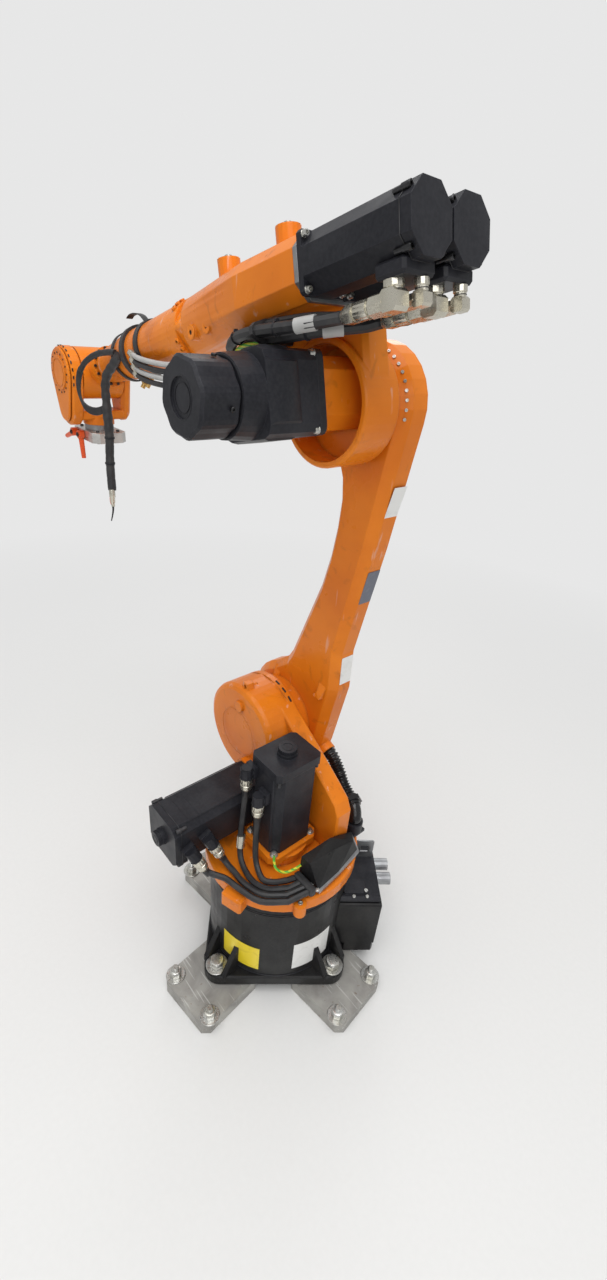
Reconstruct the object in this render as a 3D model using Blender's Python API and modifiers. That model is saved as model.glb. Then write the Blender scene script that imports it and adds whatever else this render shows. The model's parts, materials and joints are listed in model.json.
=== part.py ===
"""Six-axis industrial robot arm on a round base frame, in the pose that it stands in.

Units are metres and +Z is up. The origin is on the vertical first axis, at the underside of the
base frame. +X is the direction in which the arm reaches, and +Y is its left.
"""
import bpy
import bmesh
from math import atan2, cos, hypot, pi, radians, sin, tau
from mathutils import Matrix, Vector

# Main lengths of the arm, axis to axis
shoulder_reach = 0.145
shoulder_height = 0.403
link_length = 0.600
elbow_offset = 0.124
forearm_length = 0.609
flange_reach = 0.103

# Pose
base_turn = radians(51.3)
link_lean = radians(-10.5)
forearm_dip = radians(14.2)
wrist_dip = radians(75.8)

# Running gaps: seated faces of two bodies, pieces bolted face to face, and open air
seat_gap = 0.0003
joint_gap = 0.0003
air_gap = 0.007
overrun = 0.004

# Base frame
base_side = 0.266
base_corner_radius = 0.030
base_plate_thickness = 0.025
base_radius = 0.131
base_height = 0.222
base_hub_radius = 0.098
base_edge = 0.003
ear_rib_thickness = 0.010
ear_rib_height = 0.060
rim_groove_depth = 0.002
rim_groove_width = 0.003
rim_band = 0.016

# Bedplates under the corners
bedplate_length = 0.125
bedplate_width = 0.132
bedplate_thickness = 0.030
bedplate_reach = 0.166
bedplate_corner = 0.012

# Junction box behind the base, and the panel of sockets beyond it
junction_width = 0.134
junction_depth = 0.062
junction_height = 0.121
junction_foot = 0.004
junction_lid_thickness = 0.014
junction_lid_inset = 0.012
junction_lid_rise = 0.005
junction_edge = 0.004
panel_width = 0.036
panel_height = 0.046
panel_thickness = 0.003
panel_window = 0.016
panel_lip = 0.024
socket_radius = 0.012
socket_length = 0.030
panel_share = 0.45
socket_shares = (0.22, 0.72)
junction_raised_length = 0.030
junction_raised_width = 0.030

# Rotating column
column_flange_radius = 0.141
column_flange_thickness = 0.027
column_dish_radius = 0.122
column_dish_depth = 0.008
column_edge = 0.003
column_wall_outer = 0.080
column_wall_inner = 0.046
gear_case_inner = 0.024
wall_shares = ((0, 0), (0, 0.64), (0.11, 0.77), (0.4, 0.9))
wall_start_angle = radians(128)
wall_end_angle = radians(-28)
wall_front_share = 0.86
wall_rear_share = 0.628
case_rear_share = 1.3
stop_block_width = 0.040
stop_block_reach = 0.016
stop_block_height = 0.034
stop_block_angle = radians(108)
lug_radius = 0.011
lug_angle = radians(153)

# Shoulder drum, turned about the second axis
drum_radius = 0.096
drum_end = 0.002
drum_seat = 0.080
drum_fillet = 0.010
drum_rib_depth = 0.003
drum_rib_width = 0.012
plug_radius = 0.011
plug_rise = 0.005
ear_width = 0.026
ear_height = 0.020
ear_thickness = 0.014
ear_hole_radius = 0.004

# Motor of the first axis
a1_motor_x = -0.009
a1_motor_y = 0.013
a1_motor_depth = 0.074
a1_motor_width = 0.092
a1_motor_height = 0.168
a1_motor_chamfer = 0.014
a1_cap_height = 0.016
a1_cap_overhang = 0.001
a1_button_radius = 0.017
a1_button_height = 0.014
a1_pad_margin = 0.008
a1_pad_thickness = 0.016
a1_pad_rise = 0.026

# Motor of the second axis
a2_motor_x = 0.082
a2_motor_clearance = 0.016
a2_motor_side = 0.088
a2_motor_length = 0.172
a2_motor_chamfer = 0.012
a2_motor_start = 0.014
a2_cap_length = 0.012
a2_button_radius = 0.015
a2_button_height = 0.013
a2_pad_margin = 0.003

# Angled plugs of the lower motors
plug_foot = 0.022
plug_head_radius = 0.0105
plug_head_length = 0.011
plug_nut_radius = 0.0095
plug_nut_length = 0.024
plug_standoff = 0.016
a1_power_share = 0.36
a1_signal_share = 0.1
a2_power_share = -0.08
a2_signal_share = 0.02
a2_plug_slant = (-0.3, -0.36, -0.88)

# Leads
lead_radius = 0.0052
earth_lead_radius = 0.0024

# Cable cover and hose on the column
cover_height = 0.043
cover_edge = 0.002
band_height = 0.012
hose_radius = 0.014
hose_collar_radius = 0.0165
hose_collar_length = 0.0207

# Plans of the cable cover and its band, as shares of the column flange radius
cover_low_shares = ((-0.642, 0.27), (-0.95, 0.227), (-0.915, -0.142), (-0.823, -0.567),
                    (-0.642, -0.667), (-0.642, -0.213))
cover_high_shares = ((-0.642, 0.255), (-0.78, 0.241), (-0.794, -0.156), (-0.794, -0.496),
                     (-0.642, -0.624), (-0.642, -0.213))
cover_rise_shares = (1, 1, 0.92, 0.6, 0.38, 0.95)
band_shares = ((-0.642, 0.264), (-0.965, 0.22), (-0.929, -0.142), (-0.844, -0.582), (-0.642, -0.688))
hose_foot_shares = ((-0.628, -0.922), (-0.411, -0.922), (-0.411, -0.684), (-0.628, -0.684))
hose_collar_share = (-0.521, -0.805)

# Routes of the hose and the lower leads, as shares of the same radius
hose_route_shares = ((-0.4539, -0.844, 0.3369), (-0.3121, -0.8936, 0.3688), (-0.1418, -0.9291, 0.4468),
                     (0, -0.9574, 0.578))
lead_1_shares = ((-0.156, 0.567, 0.31), (-0.241, 0.603, 0.111), (-0.411, 0.638, 0.048),
                 (-0.525, 0.553, 0.044), (-0.624, 0.426, 0.083), (-0.688, 0.326, 0.133))
lead_2_shares = ((0.085, 0.61, 0.452), (0.007, 0.674, 0.147), (-0.142, 0.723, 0.055),
                 (-0.369, 0.745, 0.044), (-0.553, 0.667, 0.044), (-0.709, 0.482, 0.079),
                 (-0.766, 0.326, 0.133))
lead_3_shares = ((-0.014, 0.865, 0.085), (-0.128, 0.851, 0.057), (-0.319, 0.844, 0.048),
                 (-0.567, 0.759, 0.048), (-0.759, 0.553, 0.069), (-0.844, 0.326, 0.133))
lead_4_shares = ((-0.014, 1.064, 0.06), (-0.142, 0.979, 0.048), (-0.34, 0.933, 0.048),
                 (-0.624, 0.837, 0.048), (-0.837, 0.596, 0.069), (-0.922, 0.326, 0.133))
lead_clamp_low_share = (-0.972, 0.277, 0.071)
lead_clamp_high_share = (-0.645, 0.369, 0.191)
earth_lead_shares = ((-0.3333, 0.4113, 0.2035), (-0.383, 0.4539, 0.2021), (-0.4681, 0.4823, 0.1702), (-0.5887, 0.4397, 0.1986),
                     (-0.6525, 0.3262, 0.2553), (-0.6525, 0.2667, 0.2553))

# Link arm
link_outer = 0.164
link_inner = 0.108
link_foot_radius = 0.105
link_head_radius = 0.080
link_chamfer = 0.014
link_hub_radius = 0.080
link_head_hub_radius = 0.062
gusset_length = 0.034
gusset_width = 0.022
gusset_rise = 0.020
gusset_places = ((0.040, 0.056), (-0.076, 0.112))

# Side view of the link arm: shares of the foot radius across and of the length along
link_front_shares = ((0.3, 0.2), (0.229, 0.233), (0.076, 0.398), (-0.038, 0.51), (-0.067, 0.607), (-0.048, 0.69),
                     (0.01, 0.765), (0.105, 0.815))
link_rear_shares = ((-0.829, 0.693), (-0.838, 0.355), (-0.99, 0.233))
link_foot_angle = radians(55)
link_head_angle = radians(60)
link_collar_length = 0.013
link_collar_angle = radians(189.5)

# Forearm casting
elbow_seat = 0.095
elbow_open = 0.035
elbow_radius = 0.078
elbow_wall = 0.008
elbow_bowl_depth = 0.040
rear_face = 0.072
rear_half_width = 0.059
rear_half_height = 0.0315
rear_chamfer = 0.016
tube_radius = 0.040
tube_nose_radius = 0.037
tube_start = 0.190
tube_end = 0.354
boss_radius = 0.010
boss_height = 0.006
boss_hole_radius = 0.0022
lift_boss_radius = 0.015
lift_boss_height = 0.030
pocket_length = 0.046
pocket_width = 0.018
pocket_depth = 0.006
pocket_at = 0.191
pocket_angle = radians(35)
side_boss_places = (0.158, 0.120)
lift_boss_places = ((0.115, 0.003), (-0.005, 0.003))
adaptor_thickness = 0.006

# Motor of the third axis
a3_motor_side = 0.094
a3_motor_rise = 0.010
a3_flange_at = 0.002
a3_body_length = 0.085
a3_body_chamfer = 0.014
a3_neck_radius = 0.045
a3_neck_length = 0.030
a3_cap_radius = 0.043
a3_cap_length = 0.050
a3_cap_lobes = 8
a3_cap_lobe_depth = 0.0025
a3_housing_half = 0.042

# Motors of the wrist, at the back of the forearm
wrist_motor_side = 0.057
wrist_motor_gap = 0.003
wrist_motor_length = 0.1295
wrist_motor_chamfer = 0.016
wrist_motor_cap = 0.012
wrist_motor_flange = 0.006
terminal_box_length = 0.036
terminal_box_height = 0.010
elbow_plug_radius = 0.0085
small_plug_radius = 0.0060
elbow_plug_drop = 0.016
elbow_plug_reach = 0.075
power_lead_radius = 0.0065
signal_lead_radius = 0.0042
lead_tie_at = 0.004
lead_tie_length = 0.006

# Routes of the leads under the forearm, as shares of the elbow offset
left_power_shares = ((-0.565, 0.484, 0.565), (0, 0.5, 0.629), (0.323, 0.468, 0.637),
                     (0.565, 0.371, 0.581), (0.637, 0.113, 0.516), (0.645, -0.161, 0.5),
                     (0.645, -0.343, 0.5))
right_power_shares = ((-0.806, -0.081, 0.548), (-0.565, 0.177, 0.548), (-0.242, 0.347, 0.548),
                      (0, 0.371, 0.565), (0.323, 0.355, 0.565), (0.5, 0.274, 0.484),
                      (0.573, 0.065, 0.387), (0.593, -0.161, 0.367), (0.593, -0.343, 0.367))
left_signal_shares = ((-1.008, 0.194, 0.565), (-0.565, 0.339, 0.645), (0, 0.379, 0.69),
                      (0.339, 0.371, 0.681), (0.516, 0.274, 0.673), (0.573, 0.065, 0.645),
                      (0.581, -0.161, 0.637), (0.581, -0.343, 0.637))
right_signal_shares = ((-1.048, -0.29, 0.548), (-0.565, 0.016, 0.613), (-0.242, 0.21, 0.617),
                       (0, 0.25, 0.617), (0.339, 0.234, 0.617), (0.419, 0.129, 0.645),
                       (0.46, -0.04, 0.661), (0.468, -0.343, 0.661))
lead_tie_shares = ((0.206, 0.617), (0.242, 0.56), (0.355, 0.504), (0.427, 0.506), (0.56, 0.597),
                   (0.56, 0.661), (0.516, 0.698), (0.403, 0.731), (0.347, 0.729), (0.214, 0.663))

# Wrist
roll_hub_radius = 0.037
roll_neck_radius = 0.028
roll_ring_radius = 0.034
roll_ring_length = 0.010
barrel_radius = 0.046
barrel_half_width = 0.040
swing_arm_thickness = 0.022
swing_arm_radius = 0.047
swing_cover_thickness = 0.005
swing_hub_radius = 0.030
swing_bridge_near = 0.066
swing_neck_radius = 0.030
swing_far_arm_thickness = 0.020
swing_far_arm_radius = 0.036
strap_radius = 0.0415
strap_width = 0.012
strap_at = 0.030
sleeve_radius = 0.0065
loop_radius = 0.0032

# Tool flange, tool plate and its levers
tool_flange_radius = 0.020
tool_flange_thickness = 0.010
tool_plate_length = 0.110
tool_plate_width = 0.070
tool_plate_thickness = 0.020
tool_plate_chamfer = 0.012
lever_length = 0.046
lever_radius = 0.0055
lever_front_angle = radians(20)
lever_rear_angle = radians(95)

# Routes of the hoses on the wrist, as shares of the elbow offset
sleeve_shares = ((0.2097, 0.0806, -0.3871), (0.4032, 0.0806, -0.3871), (0.9677, 0.0968, -0.371),
                 (1.3306, 0.1129, -0.371), (1.5726, 0.1129, -0.5), (1.6613, 0.0968, -0.7419),
                 (1.6815, 0.0726, -0.9274), (1.7653, 0.0645, -1.0137), (1.8435, 0.0645, -0.9935))
loop_shares = ((0.3435, 0.3323, 0.0323), (0.4435, 0.3347, 0.0323), (0.7258, 0.3871, 0.0242),
               (1.0081, 0.4839, 0.0161), (1.4113, 0.6452, -0.0161), (1.7258, 0.7097, -0.1452),
               (1.871, 0.7097, -0.4032), (1.9194, 0.6129, -0.6855), (2.0645, 0.4839, -0.871),
               (2.1234, 0.371, -0.9226), (2.1234, 0.2871, -0.9226))

# Round things
wide_sides = 48
round_sides = 32
small_sides = 16
tiny_sides = 10

for old in list(bpy.data.objects):
    bpy.data.objects.remove(old, do_unlink=True)

robot = bpy.data.collections.new("industrial_robot_arm")
bpy.context.scene.collection.children.link(robot)
workshop = bpy.data.collections.new("workshop")
bpy.context.scene.collection.children.link(workshop)


def finish(name, colour, roughness, metallic):
    """A plain Principled material."""
    material = bpy.data.materials.new(name)
    material.use_nodes = True
    shader = material.node_tree.nodes["Principled BSDF"]
    shader.inputs["Base Color"].default_value = (*colour, 1)
    shader.inputs["Roughness"].default_value = roughness
    shader.inputs["Metallic"].default_value = metallic
    return material


orange_paint = finish("orange_paint", (0.86, 0.27, 0.02), 0.32, 0)
black_paint = finish("black_paint", (0.02, 0.02, 0.022), 0.35, 0)
motor_black = finish("motor_black", (0.03, 0.031, 0.034), 0.45, 0)
grey_metal = finish("grey_metal", (0.32, 0.33, 0.34), 0.45, 0.9)
bright_metal = finish("bright_metal", (0.62, 0.6, 0.55), 0.3, 1)
dark_rubber = finish("dark_rubber", (0.03, 0.03, 0.03), 0.6, 0)
earth_green = finish("earth_green", (0.25, 0.45, 0.05), 0.5, 0)
lever_orange = finish("lever_orange", (0.85, 0.16, 0.03), 0.4, 0)


def axis_empty(name, parent=None, location=(0, 0, 0), about="Y", angle=0):
    """An empty on a joint axis: its children are modelled in its frame."""
    empty = bpy.data.objects.new(name, None)
    robot.objects.link(empty)
    empty.empty_display_size = drum_radius
    empty.parent = parent
    empty.matrix_local = Matrix.Translation(location) @ Matrix.Rotation(angle, 4, about)
    return empty


def work_object(bm):
    """A working solid, not yet a piece of the robot."""
    mesh = bpy.data.meshes.new("work")
    bm.normal_update()
    bm.to_mesh(mesh)
    bm.free()
    solid = bpy.data.objects.new("work", mesh)
    workshop.objects.link(solid)
    return solid


def baked(solid):
    """The same solid with its modifiers, or its curve, turned into a mesh."""
    bpy.context.view_layer.update()
    graph = bpy.context.evaluated_depsgraph_get()
    mesh = bpy.data.meshes.new_from_object(solid.evaluated_get(graph))
    bm = bmesh.new()
    bm.from_mesh(mesh)
    bmesh.ops.remove_doubles(bm, verts=bm.verts, dist=0.00001)
    bm.transform(solid.matrix_world)
    bpy.data.objects.remove(solid, do_unlink=True)
    bpy.data.meshes.remove(mesh)
    return work_object(bm)


def combined(operation, first, others):
    """A Boolean of one solid with several, one after the other."""
    for other in others:
        modifier = first.modifiers.new(operation, "BOOLEAN")
        modifier.operation = operation
        modifier.object = other
    result = baked(first)
    for other in others:
        bpy.data.objects.remove(other, do_unlink=True)
    return result


def fused(first, *others):
    return combined("UNION", first, others)


def carved(first, *others):
    return combined("DIFFERENCE", first, others)


def bevelled(bm, edges, width, steps):
    bmesh.ops.bevel(bm, geom=edges, offset=width, offset_type="OFFSET", segments=steps,
                    profile=0.5, affect="EDGES", clamp_overlap=True)


def block(low, high, bevel=0, steps=1, along=None):
    """A box from its low corner to its high corner, with all edges, or those along one axis, bevelled."""
    low, high = Vector(low), Vector(high)
    bm = bmesh.new()
    bmesh.ops.create_cube(bm, size=1)
    size = high - low
    bmesh.ops.scale(bm, vec=size, verts=bm.verts)
    bmesh.ops.translate(bm, vec=(low + high) / 2, verts=bm.verts)
    if bevel:
        edges = list(bm.edges)
        if along is not None:
            way = Vector((along == "X", along == "Y", along == "Z"))
            edges = [e for e in edges
                     if abs((e.verts[1].co - e.verts[0].co).normalized().dot(way)) > 0.9]
        bevelled(bm, edges, bevel, steps)
    return work_object(bm)


def spun(start, end, radius, end_radius=None, sides=round_sides):
    """A cylinder or cone between two points."""
    start, end = Vector(start), Vector(end)
    way = end - start
    bm = bmesh.new()
    bmesh.ops.create_cone(bm, cap_ends=True, segments=sides, radius1=radius,
                          radius2=radius if end_radius is None else end_radius, depth=way.length)
    turn = Vector((0, 0, 1)).rotation_difference(way.normalized()).to_matrix().to_4x4()
    bmesh.ops.transform(bm, matrix=Matrix.Translation((start + end) / 2) @ turn, verts=bm.verts)
    return work_object(bm)


def turned(profile, centre, way, sides=wide_sides):
    """A solid of revolution: (radius, distance along the axis) points from one end to the other."""
    bm = bmesh.new()
    previous = None
    for radius, along in profile:
        vert = bm.verts.new((radius, 0, along))
        if previous:
            bm.edges.new((previous, vert))
        previous = vert
    solid = work_object(bm)
    screw = solid.modifiers.new("turn", "SCREW")
    screw.axis = "Z"
    screw.steps = sides
    screw.render_steps = sides
    screw.use_merge_vertices = True
    screw.merge_threshold = 0.00001
    turn = Vector((0, 0, 1)).rotation_difference(Vector(way).normalized()).to_matrix().to_4x4()
    solid.matrix_world = Matrix.Translation(centre) @ turn
    solid = baked(solid)
    bm = bmesh.new()
    bm.from_mesh(solid.data)
    bmesh.ops.recalc_face_normals(bm, faces=bm.faces)
    bm.to_mesh(solid.data)
    bm.free()
    return solid


def arc(centre, radius, start, end, steps):
    """Points of a circular arc, angles in radians."""
    return [(centre[0] + radius * cos(start + (end - start) * i / steps),
             centre[1] + radius * sin(start + (end - start) * i / steps)) for i in range(steps + 1)]


def profiled(outline, low, high, plane="XZ", bevel=0, steps=1):
    """A flat outline extruded between two distances along the plane's normal."""
    curve = bpy.data.curves.new("outline", "CURVE")
    curve.dimensions = "2D"
    curve.fill_mode = "BOTH"
    curve.extrude = (high - low) / 2
    spline = curve.splines.new("POLY")
    spline.points.add(len(outline) - 1)
    for point, (x, y) in zip(spline.points, outline):
        point.co = (x, y, 0, 1)
    spline.use_cyclic_u = True
    solid = bpy.data.objects.new("outline", curve)
    workshop.objects.link(solid)
    frames = {
        "XZ": Matrix(((1, 0, 0, 0), (0, 0, 1, 0), (0, 1, 0, 0), (0, 0, 0, 1))),
        "XY": Matrix.Identity(4),
        "YZ": Matrix(((0, 0, 1, 0), (1, 0, 0, 0), (0, 1, 0, 0), (0, 0, 0, 1))),
    }
    middle = Matrix.Translation((0, 0, (low + high) / 2))
    solid.matrix_world = frames[plane] @ middle
    solid = baked(solid)
    bm = bmesh.new()
    bm.from_mesh(solid.data)
    bmesh.ops.remove_doubles(bm, verts=bm.verts, dist=0.00001)
    bmesh.ops.recalc_face_normals(bm, faces=bm.faces)
    if bevel:
        bmesh.ops.dissolve_limit(bm, angle_limit=radians(1), verts=bm.verts, edges=bm.edges)
        normal = Vector((plane == "YZ", plane == "XZ", plane == "XY"))
        edges = [e for e in bm.edges if len(e.link_faces) == 2
                 and sum(abs(f.normal.dot(normal)) > 0.9 for f in e.link_faces) == 1]
        bevelled(bm, edges, bevel, steps)
    bm.to_mesh(solid.data)
    bm.free()
    return solid


def lofted(rings):
    """A closed skin through rings of equal point counts, capped at both ends."""
    bm = bmesh.new()
    rows = [[bm.verts.new(point) for point in ring] for ring in rings]
    count = len(rows[0])
    for lower, upper in zip(rows, rows[1:]):
        for i in range(count):
            j = (i + 1) % count
            bm.faces.new((lower[i], lower[j], upper[j], upper[i]))
    bm.faces.new(reversed(rows[0]))
    bm.faces.new(rows[-1])
    bmesh.ops.recalc_face_normals(bm, faces=bm.faces)
    return work_object(bm)


def scaled(shares, unit, lift=0):
    """Places given as shares of one length, raised by a lift."""
    return [Vector(share) * unit + Vector((0, 0, lift)) for share in shares]


def flat(shares, unit):
    """The same in a plane, for an outline."""
    return [(x * unit, y * unit) for x, y in shares]


def smooth_path(points, per_span):
    """Points along a smooth curve through the given ones."""
    places = [Vector(p) for p in points]
    ends = [2 * places[0] - places[1]] + places + [2 * places[-1] - places[-2]]
    path = []
    for before, a, b, after in zip(ends, ends[1:], ends[2:], ends[3:]):
        for i in range(per_span):
            t = i / per_span
            path.append(((2 * a) + (b - before) * t + (2 * before - 5 * a + 4 * b - after) * t * t
                         + (3 * a - before - 3 * b + after) * t * t * t) / 2)
    path.append(places[-1])
    return path


def tube(points, radius, per_span=4, resolution=2):
    """A round lead or hose along a smooth route, straight at both ends."""
    route = [Vector(points[0])] + smooth_path(points[1:-1], per_span) + [Vector(points[-1])]
    curve = bpy.data.curves.new("route", "CURVE")
    curve.dimensions = "3D"
    curve.bevel_depth = radius
    curve.bevel_resolution = resolution
    curve.use_fill_caps = True
    spline = curve.splines.new("POLY")
    spline.points.add(len(route) - 1)
    for point, place in zip(spline.points, route):
        point.co = (*place, 1)
    solid = bpy.data.objects.new("route", curve)
    workshop.objects.link(solid)
    return baked(solid)


def piece(name, solid, material, parent, sharp=35):
    """Names a finished solid as a piece of the robot and hangs it on its axis."""
    solid.name = name
    solid.data.name = name
    workshop.objects.unlink(solid)
    robot.objects.link(solid)
    solid.parent = parent
    solid.matrix_parent_inverse = Matrix.Identity(4)
    solid.data.materials.clear()
    solid.data.materials.append(material)
    solid.data.shade_smooth()
    solid.data.set_sharp_from_angle(angle=radians(sharp))
    return solid


def chamfered_ring(x, half_width, half_height, chamfer, lift=0):
    """Eight points of a chamfered rectangle across X."""
    w, h, c = half_width, half_height, chamfer
    flat = [(-w + c, -h), (w - c, -h), (w, -h + c), (w, h - c), (w - c, h), (-w + c, h), (-w, h - c), (-w, -h + c)]
    return [(x, y, z + lift) for y, z in flat]


base_axis = axis_empty("base_turn", about="Z", angle=base_turn)
column_axis = axis_empty("a1_axis")
shoulder_axis = axis_empty("a2_axis", column_axis, (shoulder_reach, 0, shoulder_height), "Y", link_lean)
elbow_axis = axis_empty("a3_axis", shoulder_axis, (0, 0, link_length), "Y", forearm_dip - link_lean)
roll_axis = axis_empty("a4_axis", elbow_axis, (tube_end, 0, elbow_offset), "X", 0)
bend_axis = axis_empty("a5_axis", roll_axis, (forearm_length - tube_end, 0, 0), "Y", wrist_dip)
flange_axis = axis_empty("a6_axis", bend_axis, (flange_reach, 0, 0), "X", 0)


def base_frame():
    half = base_side / 2
    inner = half - base_corner_radius
    outline = []
    for turn in range(4):
        corner = (inner * (1, -1, -1, 1)[turn], inner * (1, 1, -1, -1)[turn])
        outline += arc(corner, base_corner_radius, turn * pi / 2, (turn + 1) * pi / 2, 6)
    plate = profiled(outline, 0, base_plate_thickness, "XY", base_edge)
    low = base_plate_thickness / 2
    hub_top = base_height + air_gap
    groove = base_radius - rim_groove_depth
    band = base_height - rim_band
    barrel = turned([(0, low), (base_radius, low), (base_radius, band - rim_groove_width), (groove, band - rim_groove_width),
                     (groove, band), (base_radius, band), (base_radius, base_height - base_edge),
                     (base_radius - base_edge, base_height), (base_hub_radius, base_height),
                     (base_hub_radius, hub_top), (0, hub_top)], (0, 0, 0), (0, 0, 1))
    body = fused(plate, barrel)
    reach = inner * 2 ** 0.5 + base_corner_radius
    rib_top = base_plate_thickness + ear_rib_height
    ribs = []
    for corner in range(4):
        angle = pi / 4 + corner * pi / 2
        for side in (-1, 1):
            rib = profiled([(base_radius - overrun, low), (reach - base_corner_radius / 2, low),
                            (reach - base_corner_radius / 2, base_plate_thickness + base_edge),
                            (base_radius - overrun, rib_top)],
                           -ear_rib_thickness / 2, ear_rib_thickness / 2)
            spread = base_corner_radius - ear_rib_thickness / 2
            rib.matrix_world = Matrix.Rotation(angle, 4, "Z") @ Matrix.Translation((0, side * spread, 0))
            ribs.append(baked(rib))
    return piece("base_frame", fused(body, *ribs), black_paint, base_axis)


def bedplates():
    for corner in range(4):
        plate = block((bedplate_reach - bedplate_width / 2, -bedplate_length / 2, -bedplate_thickness),
                      (bedplate_reach + bedplate_width / 2, bedplate_length / 2, -seat_gap), bedplate_corner, 1, "Z")
        plate.matrix_world = Matrix.Rotation(pi / 4 + corner * pi / 2, 4, "Z")
        piece("bedplate_" + str(corner + 1), baked(plate), grey_metal, base_axis)


def junction_box():
    edge = -(base_side / 2 + seat_gap)
    far = edge - junction_depth
    half = junction_width / 2
    low = base_plate_thickness + seat_gap * 2
    top = low + junction_height
    box = block((far, -half, low), (overrun - base_hub_radius, half, top), junction_edge, 2, "X")
    skirt = block((far, -half, junction_foot), (edge, half, low + junction_edge), junction_edge, 1, "Z")
    lid = block((far + junction_edge, junction_edge - half, top + seat_gap),
                (overrun - base_hub_radius, half - junction_edge, top + junction_lid_thickness), junction_edge, 1, "X")
    raised_near = half - junction_lid_inset
    raised = block((edge - junction_raised_length, raised_near - junction_raised_width, top + junction_lid_thickness / 2),
                   (edge + junction_lid_inset, raised_near, top + junction_lid_thickness + junction_lid_rise),
                   junction_lid_inset / 2, 3, "Z")
    solids = []
    for solid in (fused(box, skirt), fused(lid, raised)):
        round_clear = spun((0, 0, low - overrun), (0, 0, top + panel_lip), base_radius + seat_gap, sides=wide_sides)
        solids.append(carved(solid, round_clear))
    piece("junction_box", solids[0], black_paint, base_axis)
    piece("junction_lid", solids[1], motor_black, base_axis)
    stand = top + junction_lid_thickness + seat_gap
    panel_far = far + junction_edge * 2
    panel_y = -half * panel_share
    panel = block((panel_far, panel_y - panel_thickness, stand), (panel_far + panel_width, panel_y, stand + panel_height),
                  base_edge, 1, "Y")
    foot = block((panel_far, panel_y - panel_thickness * 4, stand), (panel_far + panel_width, panel_y, stand + panel_thickness))
    middle = panel_far + panel_width / 2
    window = block((middle - panel_window / 2, panel_y - panel_thickness * 2, stand + panel_lip - panel_window / 2),
                   (middle + panel_window / 2, panel_y + panel_thickness, stand + panel_lip + panel_window / 2))
    piece("connector_panel", carved(fused(panel, foot), window), grey_metal, base_axis)
    z = top - socket_radius * 2.5
    plate = block((far - panel_thickness, -half + junction_edge * 2, z - socket_radius * 1.4),
                  (far - seat_gap, -half * panel_share / 2 + socket_radius, z + socket_radius * 1.4), base_edge / 2)
    outlets = []
    for place in socket_shares:
        y = -half * place
        outlets.append(spun((far - panel_thickness / 2, y, z), (far - panel_thickness - socket_length, y, z),
                            socket_radius, sides=small_sides))
    piece("socket_plate", fused(plate, *outlets), grey_metal, base_axis)


def column_base():
    return base_height + air_gap + seat_gap


def flange_top():
    return column_base() + column_flange_thickness


def a1_pad_top():
    return flange_top() + a1_pad_rise


def a2_motor_height():
    return flange_top() + a2_motor_clearance + a2_motor_side / 2


def wall_outline(rear):
    """Side view of the column wall, from the flange up to the shoulder drum."""
    x, z, r = shoulder_reach, shoulder_height, drum_radius
    low = column_base() + column_flange_thickness / 2
    points = [(rear + across * r, low + up * (z - low)) for across, up in wall_shares]
    points += arc((x, z), r, wall_start_angle, wall_end_angle, 6)
    points += [(column_flange_radius * wall_front_share, low)]
    return points


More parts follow.
